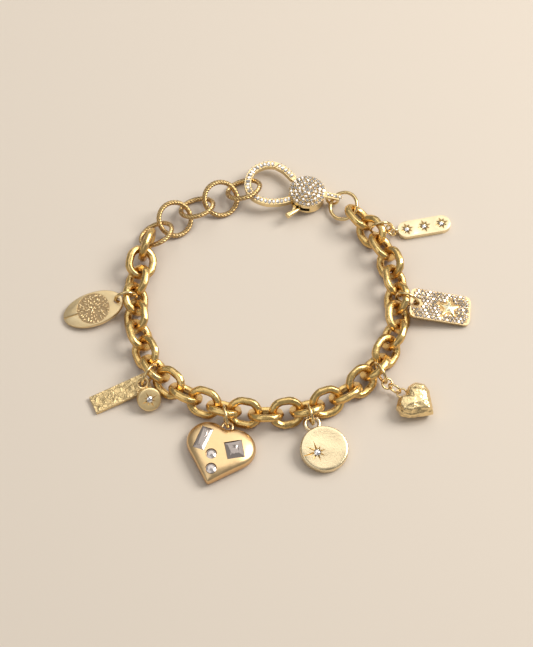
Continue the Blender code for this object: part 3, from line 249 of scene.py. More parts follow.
bpy.ops.object.select_all(action="DESELECT")
bpy.ops.mesh.primitive_torus_add(major_segments=22, minor_segments=7, major_radius=LINK_SPREAD,
                                 minor_radius=LINK_RADIUS_SHARE * LINK_WIRE)
link_model = start_piece("link_model")
bpy.ops.object.mode_set(mode="EDIT")
for way in (1.0, -1.0):
    pick(link_model, lambda co: way * co.x > 0.0001)
    bpy.ops.transform.translate(value=(way * LINK_STRAIGHT, 0.0, 0.0))
bpy.ops.mesh.select_all(action="SELECT")
bpy.ops.transform.vertex_random(offset=LINK_DENTS, uniform=1.0, normal=0.0, seed=7)
bpy.ops.object.mode_set(mode="OBJECT")
work(link_model, "BEVEL", width=LINK_FLATS, segments=2, limit_method="NONE")
bpy.ops.object.shade_smooth_by_angle(angle=math.radians(40.0))
for number in range(1, LINK_COUNT + 1):
    node = f"chain_link_{number:02d}"
    flip = Matrix.Rotation(math.pi * (number // 2 % 2), 4, "X")
    turn = Matrix.Rotation(math.pi * (number % 2), 4, "Z") @ flip
    put(link_model, f"link_{number:02d}", lie_of(node) @ turn, node, chain_finish)
bpy.data.objects.remove(link_model)


# The extender: five rings of twisted gold wire, closed by soldering. The twist shows as fine
# slanting ridges all round the wire, with painted highlight on top and painted shade between.
EXTENDER_WIRE = 0.0012
EXTENDER_BORE = 0.00665
STRANDS = 5
TWIST_TURNS = 7
GROOVE = 0.56

# Painted highlight on the ridges of the twist, heavy painted shade in the grooves and underneath.
extender_finish = gold_finish("extender_gold", (0.62, 0.40, 0.14), 0.26, 4000.0, 0.000005,
                              patch=0.1, wear_and_painted_highlight=0.5, painted_crease_shade=0.95, painted_underside_shade=0.6)


def rope_ring(name, bore, wire, strands, turns, groove, steps):
    """A rod with a fluted section, twisted and bent round into a ring."""
    length = math.pi * (bore + wire)
    bpy.ops.object.select_all(action="DESELECT")
    bpy.ops.mesh.primitive_cylinder_add(vertices=4 * strands, radius=wire / 2.0, depth=length,
                                        end_fill_type="NOTHING")
    rod = start_piece(name)
    bpy.ops.object.mode_set(mode="EDIT")
    step = math.pi / (2.0 * strands)

    def flute(co):
        return round(math.atan2(co.y, co.x) / step) % 4

    pick(rod, lambda co: flute(co) == 2)
    bpy.ops.transform.resize(value=(groove, groove, 1.0))
    pick(rod, lambda co: flute(co) % 2 == 1)
    bpy.ops.transform.resize(value=(0.95, 0.95, 1.0))
    bpy.ops.mesh.select_all(action="DESELECT")
    bm = bmesh.from_edit_mesh(rod.data)
    for edge in bm.edges:
        edge.select_set(abs(edge.verts[0].co.z - edge.verts[1].co.z) > length / 2.0)
    bmesh.update_edit_mesh(rod.data)
    bpy.ops.mesh.subdivide(number_cuts=steps)
    bm = bmesh.from_edit_mesh(rod.data)
    bpy.ops.mesh.select_all(action="DESELECT")
    for edge in bm.edges:
        edge.select_set(abs(edge.verts[0].co.z - edge.verts[1].co.z) > 1e-6)
    bmesh.update_edit_mesh(rod.data)
    bpy.ops.mesh.subdivide(number_cuts=10)
    bpy.ops.mesh.select_all(action="SELECT")
    bpy.ops.transform.rotate(value=math.pi / 2.0, orient_axis="Y", center_override=(0.0, 0.0, 0.0))
    bpy.ops.object.mode_set(mode="OBJECT")
    work(rod, "SIMPLE_DEFORM", deform_method="TWIST", deform_axis="X", angle=2.0 * math.pi * turns)
    work(rod, "SIMPLE_DEFORM", deform_method="BEND", deform_axis="Z", angle=2.0 * math.pi)
    bpy.ops.object.mode_set(mode="EDIT")
    bpy.ops.mesh.select_all(action="SELECT")
    bpy.ops.mesh.remove_doubles(threshold=0.00002)
    bpy.ops.mesh.normals_make_consistent(inside=False)
    bpy.ops.object.mode_set(mode="OBJECT")
    corners = [Vector(corner) for corner in rod.bound_box]
    middle = sum(corners, Vector()) / 8.0
    rod.data.transform(Matrix.Translation(-middle))
    bpy.ops.object.shade_smooth()
    return rod


rope_model = rope_ring("rope_model", EXTENDER_BORE, EXTENDER_WIRE, STRANDS, TWIST_TURNS, GROOVE, 14)
for number in range(1, 6):
    node = f"extender_ring_{number}"
    put(rope_model, f"twisted_ring_{number}", lie_of(node), node, extender_finish)
bpy.data.objects.remove(rope_model)


# The plain rings: polished round wire bent and closed. One joins the chain to the clasp, the
# others carry the charms. Each is (bore, wire) in metres.
PLAIN_RINGS = {
    "clasp_ring": (0.0058, 0.00085),
    "jump_ring_oval": (0.0041, 0.0007),
    "jump_ring_bar": (0.0048, 0.0007),
    "jump_ring_heart": (0.0044, 0.0007),
    "jump_ring_disc": (0.0039, 0.0007),
    "jump_ring_small_heart": (0.0044, 0.0007),
    "jump_ring_tag": (0.0043, 0.0007),
    "jump_ring_pill": (0.0043, 0.0007),
    "small_heart_ring_a": (0.0019, 0.0005),
    "small_heart_ring_b": (0.0026, 0.0005),
    "pill_ring": (0.0022, 0.0005),
}

ring_finish = gold_finish("ring_gold", (0.84, 0.61, 0.27), 0.18, 1800.0, 0.00001)

for node, (bore, wire) in PLAIN_RINGS.items():
    bpy.ops.object.select_all(action="DESELECT")
    bpy.ops.mesh.primitive_torus_add(major_segments=40, minor_segments=12, major_radius=(bore + wire) / 2.0,
                                     minor_radius=wire / 2.0)
    ring_model = start_piece("ring_model")
    bpy.ops.object.mode_set(mode="EDIT")
    bpy.ops.mesh.select_all(action="SELECT")
    bpy.ops.transform.vertex_random(offset=0.00002, uniform=1.0, seed=3)
    bpy.ops.object.mode_set(mode="OBJECT")
    bpy.ops.object.shade_smooth()
    put(ring_model, node + "_wire", lie_of(node), node, ring_finish)
    bpy.data.objects.remove(ring_model)


# The clasp: a cast lobster clasp with a domed round housing, a hook that narrows from it, and a
# sprung gate with a thumb lever. Its top is pave-set: small round stones, each held by gold
# grains raised from the metal beside it. The rails beside the stones are polished.
HOUSING_RADIUS = 0.0043
HOUSING_HEIGHT = 0.0031
DOME_RISE = 0.0007
BAND_TOP = 0.002175
HOOK_REACH = 0.0101
HOOK_HALF_WIDTH = 0.0054
HOOK_MIDDLE = Vector((0.0043, -0.00085))
HOOK_ROUTE = [
    (0.11, 0.82), (0.43, 1.00), (0.72, 0.92), (0.93, 0.60), (1.00, 0.10), (0.93, -0.48),
    (0.72, -0.87), (0.50, -1.00), (0.27, -0.90), (0.10, -0.70), (-0.03, -0.50),
]
SEAM_SHARE = 0.40
SEAM_SLANT = 40.0
TAIL_TAB_TOP = 0.003495
PAVE_PITCH = 0.00096
PAVE_STONE = 0.00093
PAVE_CROWN = 0.00030
TABLE_AREA = 9.0e-8
STONE_RISE = 0.0002
STONE_LEAN = 0.20
GRAIN_RADIUS = 0.00013
GRAINS_ROUND = 6
GRAIN_REACH = 0.00058
DOME_GRAIN_REACH = 0.00055
LEVER_SPOT = (0.00258, 0.00608, 0.00155)
LEVER_HEADING = 48.0
PADDLE_SIZE = (0.0040, 0.00135, 0.00120)
PADDLE_BACK = 0.0006
CLASP_SPOT = (0.0092664, 0.0329740, 0.0006832)
CLASP_HEADING = 168.0926
CLASP_PITCH = -3.5283
CLASP_ROLL = 3.1857

clasp_finish = gold_finish("clasp_gold", (0.86, 0.65, 0.31), 0.17, 2200.0, 0.00001)


def crystal_finish(name, colour, roughness, metallic):
    """Foiled crystal: opaque facets that mirror the room, tinted."""
    material = bpy.data.materials.new(name)
    material.use_nodes = True
    shader = material.node_tree.nodes["Principled BSDF"]
    shader.inputs["Base Color"].default_value = (*colour, 1.0)
    shader.inputs["Roughness"].default_value = roughness
    shader.inputs["Metallic"].default_value = metallic
    return material


pave_finish = crystal_finish("pave_crystal", (0.90, 0.86, 0.82), 0.07, 0.8)
# Painted shade: a dark brown finish for the metal between the stones, where shade falls among them.
painted_shade_gold = gold_finish("pave_painted_shade", (0.30, 0.19, 0.08), 0.45, 2200.0, 0.00001)

clasp_place = Matrix.Translation(CLASP_SPOT) @ Matrix.Rotation(math.radians(CLASP_HEADING), 4, "Z") \
    @ Matrix.Rotation(math.radians(CLASP_PITCH), 4, "Y") @ Matrix.Rotation(math.radians(CLASP_ROLL), 4, "X")


def merged_copy(node, name, finish, body="bracelet", angle=35.0):
    """A copy of a CAD node with its triangles merged, shaded smooth over its round parts."""
    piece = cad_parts[node].copy()
    piece.data = piece.data.copy()
    piece.name = name
    piece.data.name = name
    piece.parent = None
    bpy.context.scene.collection.objects.link(piece)
    alone(piece)
    bpy.ops.object.mode_set(mode="EDIT")
    bpy.ops.mesh.select_all(action="SELECT")
    bpy.ops.mesh.remove_doubles(threshold=0.000001)
    bpy.ops.mesh.dissolve_limited(angle_limit=math.radians(0.5))
    bpy.ops.object.mode_set(mode="OBJECT")
    if piece.data.has_custom_normals:
        bpy.ops.mesh.customdata_custom_splitnormals_clear()
    bpy.ops.object.shade_smooth_by_angle(angle=math.radians(angle))
    piece.data.materials.clear()
    piece.data.materials.append(finish)
    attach(piece, body)
    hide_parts(node)
    return piece


def sink_stones(piece):
    """Levels the simple stones of a CAD node's copy with the metal round them."""
    tops = {}
    for face in piece.data.polygons:
        corners = len(face.vertices)
        share = face.area / TABLE_AREA * (2.0 if corners == 3 else 1.0)
        if corners < 5 and abs(share - 1.0) < 0.1 and face.normal.z > 0.8:
            for index in face.vertices:
                tops[index] = face.normal.copy()
    for index, normal in tops.items():
        piece.data.vertices[index].co -= STONE_RISE * normal


def paint_shade_between_stones(piece, test):
    """Gives the metal between the stones its own darker finish: painted shade, where the stones shade it.
    """
    piece.data.materials.append(painted_shade_gold)
    for face in piece.data.polygons:
        if test(face):
            face.material_index = 1


def scattered(name, model, places, finish, body="bracelet"):
    """Many copies of one small model, joined into one piece."""
    bm = bmesh.new()
    for place in places:
        part = model.data.copy()
        part.transform(place)
        bm.from_mesh(part)
        bpy.data.meshes.remove(part)
    mesh = bpy.data.meshes.new(name)
    bm.to_mesh(mesh)
    bm.free()
    mesh.materials.append(finish)
    piece = bpy.data.objects.new(name, mesh)
    bpy.context.scene.collection.objects.link(piece)
    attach(piece, body)
    return piece


def pave_stone_model(width, crown):
    """A small round stone: eight sides, a crown, and a table turned half a side."""
    bpy.ops.object.select_all(action="DESELECT")
    bpy.ops.mesh.primitive_cylinder_add(vertices=8, radius=width / 2.0, depth=crown,
                                        location=(0.0, 0.0, crown / 2.0), end_fill_type="NGON")
    stone = start_piece("stone_model")
    bpy.ops.object.transform_apply(location=True)
    bpy.ops.object.mode_set(mode="EDIT")
    pick(stone, lambda co: co.z > 0.5 * crown)
    bpy.ops.transform.resize(value=(0.55, 0.55, 1.0))
    bpy.ops.transform.rotate(value=math.pi / 8.0, orient_axis="Z", center_override=(0.0, 0.0, 0.0))
    bpy.ops.mesh.select_all(action="SELECT")
    bpy.ops.mesh.quads_convert_to_tris()
    bpy.ops.object.mode_set(mode="OBJECT")
    return stone


def bead_model(size):
    """A small ball: a grain of gold, or, drawn out, a leaf."""
    bpy.ops.object.select_all(action="DESELECT")
    bpy.ops.mesh.primitive_ico_sphere_add(subdivisions=1, radius=size)
    bead = start_piece("bead_model")
    bpy.ops.object.shade_smooth()
    return bead


def set_pave(name, spots, finish, body, stone, bead, reach):
    """Sets one stone at each spot, each leaning its own way, and grains of gold between them."""
    places, beads = [], []
    for i, spot in enumerate(spots):
        lean = Matrix.Rotation(STONE_LEAN, 4, Vector((math.cos(2.4 * i), math.sin(2.4 * i), 0.0)))
        places.append(spot @ lean @ Matrix.Rotation(math.pi / 4.0 * (i % 8), 4, "Z"))
        for k in range(GRAINS_ROUND):
            angle = 2.0 * math.pi * (k + 0.5) / GRAINS_ROUND
            grain = spot @ Vector((reach * math.cos(angle), reach * math.sin(angle), 0.00004))
            if all((grain - other).length > 0.00022 for other in beads):
                beads.append(grain)
    scattered(name + "_stones", stone, places, finish, body)
    scattered(name + "_grains", bead, [Matrix.Translation(grain) for grain in beads], clasp_finish,
              body)


def along_row(line, start, low, high):
    """Places on a polyline a pitch apart, in step with a given start, between two distances."""
    spots = []
    distance = start - PAVE_PITCH * math.floor((start - low) / PAVE_PITCH)
    walked = 0.0
    for here, there in zip(line, line[1:]):
        run = (there - here).length
        while distance <= min(walked + run, high):
            spots.append(here.lerp(there, (distance - walked) / run))
            distance += PAVE_PITCH
        walked += run
    return spots


def smooth_line(points, steps=3):
    """A soft curve through all of the points, as a finer polyline."""
    ends = [2.0 * points[0] - points[1], *points, 2.0 * points[-1] - points[-2]]
    line = []
    for before, here, there, after in zip(ends, ends[1:], ends[2:], ends[3:]):
        for step in range(steps):
            t = step / steps
            line.append(0.5 * (2.0 * here + (there - before) * t
                               + (2.0 * before - 5.0 * here + 4.0 * there - after) * t ** 2
                               + (3.0 * here - before - 3.0 * there + after) * t ** 3))
    return [*line, points[-1]]


clasp = merged_copy("clasp_body", "clasp_housing_and_hook", clasp_finish)
sink_stones(clasp)
# Painted shade on the metal between the stones on top of the housing.
paint_shade_between_stones(clasp, lambda face: face.normal.z > 0.8
              and (clasp_place.inverted() @ face.center).xy.length < HOUSING_RADIUS
              and (clasp_place.inverted() @ face.center).z > HOUSING_HEIGHT)
gate = merged_copy("clasp_gate", "clasp_gate_arm", clasp_finish, "gate")
sink_stones(gate)
lever_place = clasp_place @ Matrix.Translation(LEVER_SPOT) @ Matrix.Rotation(
    math.radians(LEVER_HEADING), 4, "Z")
for vert in gate.data.vertices:
    spot = lever_place.inverted() @ vert.co
    if spot.x > -0.0014 and abs(spot.y) < 0.001:
        vert.co = lever_place @ Vector((0.8 * spot.x, 0.40 * spot.y, 0.5 * spot.z))
bpy.ops.object.select_all(action="DESELECT")
bpy.ops.mesh.primitive_cube_add(size=1.0)
lever = start_piece("thumb_lever")
bpy.ops.object.mode_set(mode="EDIT")
bpy.ops.mesh.select_all(action="SELECT")
bpy.ops.transform.resize(value=PADDLE_SIZE)
pick(lever, lambda co: co.x < 0.0)
bpy.ops.transform.resize(value=(1.0, 0.62, 0.62), center_override=(0.0, 0.0, 0.0))
bpy.ops.object.mode_set(mode="OBJECT")
work(lever, "BEVEL", width=0.00035, segments=4, limit_method="NONE")
lever.data.transform(lever_place @ Matrix.Translation((-PADDLE_BACK, 0.0, 0.0)))
bpy.ops.object.shade_smooth()
lever.data.materials.append(clasp_finish)
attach(lever, "gate")

root_angle = math.radians(34.0)
root = 0.92 * HOUSING_RADIUS * Vector((math.cos(root_angle), math.sin(root_angle)))
whole_line = smooth_line([root] + [HOOK_MIDDLE + Vector((HOOK_REACH * along, HOOK_HALF_WIDTH * aside))
                                   for along, aside in HOOK_ROUTE])
seam = HOOK_MIDDLE + Vector((HOOK_REACH * SEAM_SHARE, -HOOK_HALF_WIDTH))
seam_angle = math.radians(180.0 - SEAM_SLANT)
seam_way = Vector((math.cos(seam_angle), math.sin(seam_angle)))
past_seam = [(spot - seam).dot(seam_way) for spot in whole_line]
cross = next(i for i in range(len(whole_line) // 2, len(whole_line)) if past_seam[i] > 0.0)
meeting = whole_line[cross - 1].lerp(
    whole_line[cross], -past_seam[cross - 1] / (past_seam[cross] - past_seam[cross - 1]))
hook_line = [spot for spot in whole_line[:cross] if (spot - meeting).length > 0.0009] + [meeting]
gate_line = [meeting] + [spot for spot in whole_line[cross:] if (spot - meeting).length > 0.0009]


def length_of(line):
    """The length of a polyline."""
    return sum((b - a).length for a, b in zip(line, line[1:]))


hook_spots = along_row(hook_line, length_of(hook_line[:3]) + PAVE_PITCH, 0.0006,
                       length_of(hook_line) - 0.0005)
gate_spots = along_row(gate_line, 0.0015, 0.0004, length_of(gate_line) - 0.0004)
tab_spots = [Vector((-HOUSING_RADIUS - PAVE_PITCH * (k + 0.7), 0.0)) for k in range(4)]

dome_spots = [Matrix.Translation((0.0, 0.0, HOUSING_HEIGHT + DOME_RISE))]
for ring in range(1, 5):
    radius = ring * PAVE_PITCH
    height = HOUSING_HEIGHT + DOME_RISE * (1.0 - (radius / HOUSING_RADIUS) ** 2)
    slope = math.atan(2.0 * DOME_RISE * radius / HOUSING_RADIUS ** 2)
    for step in range(6 * ring):
        dome_spots.append(Matrix.Rotation(math.pi * step / (3 * ring), 4, "Z")
                          @ Matrix.Translation((radius, 0.0, height)) @ Matrix.Rotation(slope, 4, "Y"))

clasp_stone = pave_stone_model(PAVE_STONE, PAVE_CROWN)
clasp_bead = bead_model(GRAIN_RADIUS)
across = Matrix.Diagonal((1.0, 1.42, 1.0, 1.0))


def band_places(spots):
    """A place for each stone of the band: square to its line and filling it from rail to rail."""
    places = []
    for i, p in enumerate(spots):
        way = spots[min(i + 1, len(spots) - 1)] - spots[max(i - 1, 0)]
        places.append(clasp_place @ Matrix.Translation((p.x, p.y, BAND_TOP))
                      @ Matrix.Rotation(math.atan2(way.y, way.x), 4, "Z") @ across)
    return places


body_spots = band_places(hook_spots)
body_spots += [clasp_place @ Matrix.Translation((p.x, p.y, TAIL_TAB_TOP)) for p in tab_spots]
set_pave("hook", body_spots, pave_finish, "bracelet", clasp_stone, clasp_bead, GRAIN_REACH)
set_pave("dome", [clasp_place @ spot for spot in dome_spots], pave_finish, "bracelet", clasp_stone,
         clasp_bead, DOME_GRAIN_REACH)
set_pave("gate", band_places(gate_spots), pave_finish, "gate", clasp_stone, clasp_bead, GRAIN_REACH)
bpy.data.objects.remove(clasp_stone)
bpy.data.objects.remove(clasp_bead)


# The oval charm: a plate of pale matte gold, struck with a round tree in relief in a shallow
# recess, its trunk a groove that runs to the far end. It hangs by a hole drilled through it.
OVAL_LENGTH = 0.0145
OVAL_WIDTH = 0.0086
OVAL_THICKNESS = 0.0009
HOLE_WIDTH = 0.0016
PLATE_RIM = 0.00145
TREE_RADIUS = 0.0039
OVAL_HUNG = ((-0.0349374, 0.0038425, 0.0027156), -164.0, 10.0285)
LEAF_RINGS = [(0.14, 5), (0.32, 9), (0.50, 14), (0.68, 20), (0.86, 27)]

pale_finish = gold_finish("pale_gold", (0.86, 0.66, 0.36), 0.34, 5000.0, 0.00003, 0.05)


def hung(hole, heading, tilt):
    """A charm's own frame: its hole, X away from the chain and tilted down, Z up out of its face."""
    turn, fall = math.radians(heading), math.radians(tilt)
    forward = Vector((math.cos(turn), math.sin(turn), 0.0))
    x = math.cos(fall) * forward - Vector((0.0, 0.0, math.sin(fall)))
    y = Vector((0.0, 0.0, 1.0)).cross(forward)
    return Matrix.Translation(hole) @ Matrix((x, y, x.cross(y))).transposed().to_4x4()


def plate_of(name, length, width, thickness, middle, sides):
    """An oval or round blank, face up, about the middle given."""
    bpy.ops.object.select_all(action="DESELECT")
    bpy.ops.mesh.primitive_cylinder_add(vertices=sides, radius=0.5, depth=thickness)
    plate = start_piece(name)
    bpy.ops.object.mode_set(mode="EDIT")
    bpy.ops.mesh.select_all(action="SELECT")
    bpy.ops.transform.resize(value=(length, width, 1.0))
    bpy.ops.transform.translate(value=(middle, 0.0, 0.0))
    bpy.ops.object.mode_set(mode="OBJECT")
    return plate


def cut_away(piece, tool, operation="DIFFERENCE"):
    """Cuts a tool out of a piece, or joins it on, and throws the tool away."""
    work(piece, "BOOLEAN", operation=operation, solver="EXACT", object=tool)
    bpy.data.objects.remove(tool)


def drill(width, place, depth=0.004, sides=32):
    """A round tool, upright, about the place given."""
    bpy.ops.object.select_all(action="DESELECT")
    bpy.ops.mesh.primitive_cylinder_add(vertices=sides, radius=width / 2.0, depth=depth)
    tool = start_piece("drill")
    tool.data.transform(Matrix.Translation(place))
    return tool


def settle_piece(piece, place, node, finish, angle=35.0):
    """Lays a finished charm in its place and lets it stand for its CAD node."""
    piece.data.transform(place)
    alone(piece)
    bpy.ops.object.shade_smooth_by_angle(angle=math.radians(angle))
    piece.data.materials.clear()
    piece.data.materials.append(finish)
    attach(piece, "bracelet")
    if node:
        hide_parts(node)
    return piece


oval_place = hung(*OVAL_HUNG)
oval_middle = OVAL_LENGTH / 2.0 - PLATE_RIM
oval = plate_of("oval_plate", OVAL_LENGTH, OVAL_WIDTH, OVAL_THICKNESS, oval_middle, 72)
work(oval, "BEVEL", width=0.0002, segments=3, limit_method="ANGLE", angle_limit=math.radians(60.0))
cut_away(oval, drill(HOLE_WIDTH, (0.0, 0.0, 0.0)))
cut_away(oval, drill(2.0 * TREE_RADIUS, (oval_middle, 0.0, OVAL_THICKNESS / 2.0 + 0.00092), 0.002, 64))
bpy.ops.object.select_all(action="DESELECT")
bpy.ops.mesh.primitive_cylinder_add(vertices=4, radius=0.00024, depth=0.0045)
trunk = start_piece("trunk_cutter")
trunk.data.transform(Matrix.Translation((oval_middle + 0.0053, 0.0, OVAL_THICKNESS / 2.0))
                     @ Matrix.Rotation(math.pi / 2.0, 4, "Y"))
cut_away(oval, trunk)
settle_piece(oval, oval_place, "oval_tree_charm", pale_finish)

# Painted shade: a dark sheet on the floor of the tree's recess, where shade falls among the leaves.
painted_recess_shade = gold_finish("tree_painted_shade", (0.36, 0.20, 0.07), 0.45, 5000.0, 0.00004, 0.2)
painted_recess_floor = plate_of("oval_tree_shade_floor", 1.96 * TREE_RADIUS, 1.96 * TREE_RADIUS, 0.00003, oval_middle, 48)
painted_recess_floor.data.transform(Matrix.Translation((0.0, 0.0, OVAL_THICKNESS / 2.0 - 0.00007)))
settle_piece(painted_recess_floor, oval_place, None, painted_recess_shade)

leaf = bead_model(1.0)
leaf_places = []
chance = random.Random(4)
for share, count in LEAF_RINGS:
    for i in range(count):
        angle = 2.0 * math.pi * (i + chance.uniform(-0.35, 0.35)) / count
        radius = TREE_RADIUS * min(0.93, share + chance.uniform(-0.08, 0.08))
        size = chance.uniform(0.8, 1.3)
        leaf_places.append(
            oval_place @ Matrix.Translation((oval_middle + radius * math.cos(angle),
                                             radius * math.sin(angle), OVAL_THICKNESS / 2.0 - 0.00005))
            @ Matrix.Rotation(angle + chance.uniform(-0.5, 0.5), 4, "Z")
            @ Matrix.Diagonal((0.00052 * size, 0.00017 * size, 0.00019, 1.0)))
scattered("oval_tree_leaves", leaf, leaf_places, pale_finish)
bpy.data.objects.remove(leaf)


# The bar charm: a small thick plate whose face is crackled like dry leaf, cast in yellow gold
# with worn, rounded edges. It hangs by a wide hole near one corner.
BAR_LENGTH = 0.0140
BAR_WIDTH = 0.0045
BAR_THICKNESS = 0.0009
BAR_HOLE = 0.0024
BAR_ASIDE = 0.0006
BAR_HUNG = ((-0.0282605, -0.0177151, 0.0018521), -156.0, 6.4274)


def block_of(name, size, middle, turn=0.0):
    """A block of the size given, about its middle, turned on its upright axis."""
    bpy.ops.object.select_all(action="DESELECT")
    bpy.ops.mesh.primitive_cube_add(size=1.0)
    piece = start_piece(name)
    bpy.ops.object.mode_set(mode="EDIT")
    bpy.ops.mesh.select_all(action="SELECT")
    bpy.ops.transform.resize(value=size)
    bpy.ops.object.mode_set(mode="OBJECT")
    piece.data.transform(Matrix.Translation(middle) @ Matrix.Rotation(turn, 4, "Z"))
    return piece


def cast_texture(name, kind, size, **settings):
    """A surface pattern for Displace: chased cells or cast unevenness."""
    texture = bpy.data.textures.new(name, kind)
    texture.noise_scale = size
    for key, value in settings.items():
        setattr(texture, key, value)
    return texture


bar_finish = gold_finish("bar_gold", (0.86, 0.65, 0.33), 0.36, 2400.0, 0.00002)
bar_nodes, bar_links = bar_finish.node_tree.nodes, bar_finish.node_tree.links
bar_shader = bar_nodes["Principled BSDF"]
for cells, ridge, height in ((430.0, 0.045, 0.00007), (1000.0, 0.07, 0.00004)):
    veins = bar_nodes.new("ShaderNodeTexVoronoi")
    veins.feature = "DISTANCE_TO_EDGE"
    veins.inputs["Scale"].default_value = cells
    bar_links.new(bar_nodes["Texture Coordinate"].outputs["Object"], veins.inputs["Vector"])
    raised = bar_nodes.new("ShaderNodeMapRange")
    raised.interpolation_type = "SMOOTHSTEP"
    raised.inputs["From Max"].default_value = ridge
    raised.inputs["To Min"].default_value = 1.0
    raised.inputs["To Max"].default_value = 0.0
    bar_links.new(veins.outputs["Distance"], raised.inputs["Value"])
    emboss = bar_nodes.new("ShaderNodeBump")
    emboss.inputs["Distance"].default_value = height
    bar_links.new(raised.outputs["Result"], emboss.inputs["Height"])
    bar_links.new(bar_shader.inputs["Normal"].links[0].from_socket, emboss.inputs["Normal"])
    bar_links.new(emboss.outputs["Normal"], bar_shader.inputs["Normal"])

bar_middle = BAR_LENGTH / 2.0 - PLATE_RIM
bar = block_of("bar_plate", (BAR_LENGTH, BAR_WIDTH, BAR_THICKNESS), (bar_middle, -BAR_ASIDE, 0.0))
cut_away(bar, drill(BAR_HOLE, (0.0, 0.0, 0.0)))
work(bar, "REMESH", mode="VOXEL", voxel_size=0.00009)
work(bar, "SMOOTH", factor=0.5, iterations=6)
veins = cast_texture("veins", "VORONOI", 0.0017, weight_1=-1.0, weight_2=1.0, noise_intensity=10.0)
face_group = bar.vertex_groups.new(name="face")
face_group.add([vert.index for vert in bar.data.vertices
                if vert.co.z > 0.3 * BAR_THICKNESS and abs(vert.co.y + BAR_ASIDE) < 0.46 * BAR_WIDTH
                and abs(vert.co.x - bar_middle) < 0.485 * BAR_LENGTH], 1.0, "REPLACE")
work(bar, "DISPLACE", texture=veins, strength=-0.00005, mid_level=1.0, direction="Z",
     texture_coords="LOCAL", vertex_group="face")
wear_and_painted_highlight = cast_texture("wear_and_painted_highlight", "CLOUDS", 0.0016)
work(bar, "DISPLACE", texture=wear_and_painted_highlight, strength=0.00008, mid_level=0.5, texture_coords="LOCAL")
settle_piece(bar, hung(*BAR_HUNG), "bar_charm", bar_finish, 60.0)


# The small disc: a thick brushed disc with a soldered eye, and an eight-rayed star cut into its
# face round one bead-set stone.
SMALL_DISC = 0.0055
SMALL_DISC_THICKNESS = 0.0017
SMALL_DISC_EYE = 0.0020
SMALL_WIRE = 0.0005
SMALL_HUNG = ((-0.0285605, -0.0182011, 0.0040602), -64.0, 37.9994)

gem_finish = crystal_finish("set_crystal", (0.90, 0.90, 0.92), 0.03, 0.85)


def star_tool(rays, waist, depth, place, turn):
    """A star-shaped graver's cut: one point below, a long or short ray for each length given."""
    count = 2 * len(rays)
    reach = max(rays)
    bpy.ops.object.select_all(action="DESELECT")
    bpy.ops.mesh.primitive_cone_add(vertices=count, radius1=0.0, radius2=1.4 * reach, depth=1.4 * depth)
    tool = start_piece("star_cutter")
    bpy.ops.object.mode_set(mode="EDIT")

    def which(co):
        return round(math.atan2(co.x, co.y) / (2.0 * math.pi / count)) % count

    for i in range(count):
        share = (rays[i // 2] if i % 2 == 0 else waist) / reach
        pick(tool, lambda co: co.z > 0.0 and co.length > 0.1 * reach and which(co) == i)
        bpy.ops.transform.resize(value=(share, share, 1.0), center_override=(0.0, 0.0, 0.7 * depth))
    bpy.ops.object.mode_set(mode="OBJECT")
    tool.data.transform(Matrix.Translation(place) @ Matrix.Translation((0.0, 0.0, -0.3 * depth))
                        @ Matrix.Rotation(turn, 4, "Z"))
    return tool


def wire_eye(bore, wire, place=Matrix.Identity(4)):
    """A soldered eye: a ring of round wire."""
    bpy.ops.object.select_all(action="DESELECT")
    bpy.ops.mesh.primitive_torus_add(major_segments=32, minor_segments=10,
                                     major_radius=(bore + wire) / 2.0, minor_radius=wire / 2.0)
    eye = start_piece("eye")
    eye.data.transform(place)
    return eye


def brilliant(name, width, crown, pavilion, place, finish, node=None):
    """A round brilliant: table, kite and star facets, girdle, and a pointed pavilion below."""
    bpy.ops.object.select_all(action="DESELECT")
    bpy.ops.mesh.primitive_cylinder_add(vertices=16, radius=width / 2.0, depth=0.08 * width)
    stone = start_piece(name)
    bpy.ops.object.mode_set(mode="EDIT")
    pick(stone, lambda co: co.z > 0.0)
    bpy.ops.mesh.inset(thickness=0.20 * width, depth=0.6 * crown)
    bpy.ops.mesh.poke()
    pick(stone, lambda co: co.z > 0.05 * width and co.xy.length < 0.05 * width)
    bpy.ops.transform.translate(value=(0.0, 0.0, 0.4 * crown))
    pick(stone, lambda co: co.z < 0.0)
    bpy.ops.mesh.poke()
    pick(stone, lambda co: co.z < 0.0 and co.xy.length < 0.05 * width)
    bpy.ops.transform.translate(value=(0.0, 0.0, -pavilion))
    bpy.ops.object.mode_set(mode="OBJECT")
    stone.data.transform(place)
    stone.data.materials.append(finish)
    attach(stone, "bracelet")
    if node:
        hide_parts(node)
    return stone


small_place = hung(*SMALL_HUNG)
small_middle = SMALL_DISC_EYE / 2.0 + SMALL_WIRE + SMALL_DISC / 2.0 - 0.6 * SMALL_WIRE
small_low = -SMALL_WIRE / 2.0
small_top = small_low + SMALL_DISC_THICKNESS
small = plate_of("small_disc", SMALL_DISC, SMALL_DISC, SMALL_DISC_THICKNESS, small_middle, 48)
small.data.transform(Matrix.Translation((0.0, 0.0, small_low + SMALL_DISC_THICKNESS / 2.0)))
work(small, "BEVEL", width=0.00042, segments=4, limit_method="ANGLE", angle_limit=math.radians(60.0))
cut_away(small, wire_eye(SMALL_DISC_EYE, SMALL_WIRE), "UNION")
cut_away(small, star_tool([0.0021, 0.0015] * 4, 0.00050, 0.0007, (small_middle, 0.0, small_top),
                          math.radians(8.0)))
brushed_finish = gold_finish("brushed_gold", (0.95, 0.72, 0.38), 0.50, 6000.0, 0.00003)
settle_piece(small, small_place, "small_disc_charm", brushed_finish)
brilliant("small_disc_stone", 0.0014, 0.00025, 0.0003,
          small_place @ Matrix.Translation((small_middle, 0.0, small_top - 0.0001)), gem_finish)


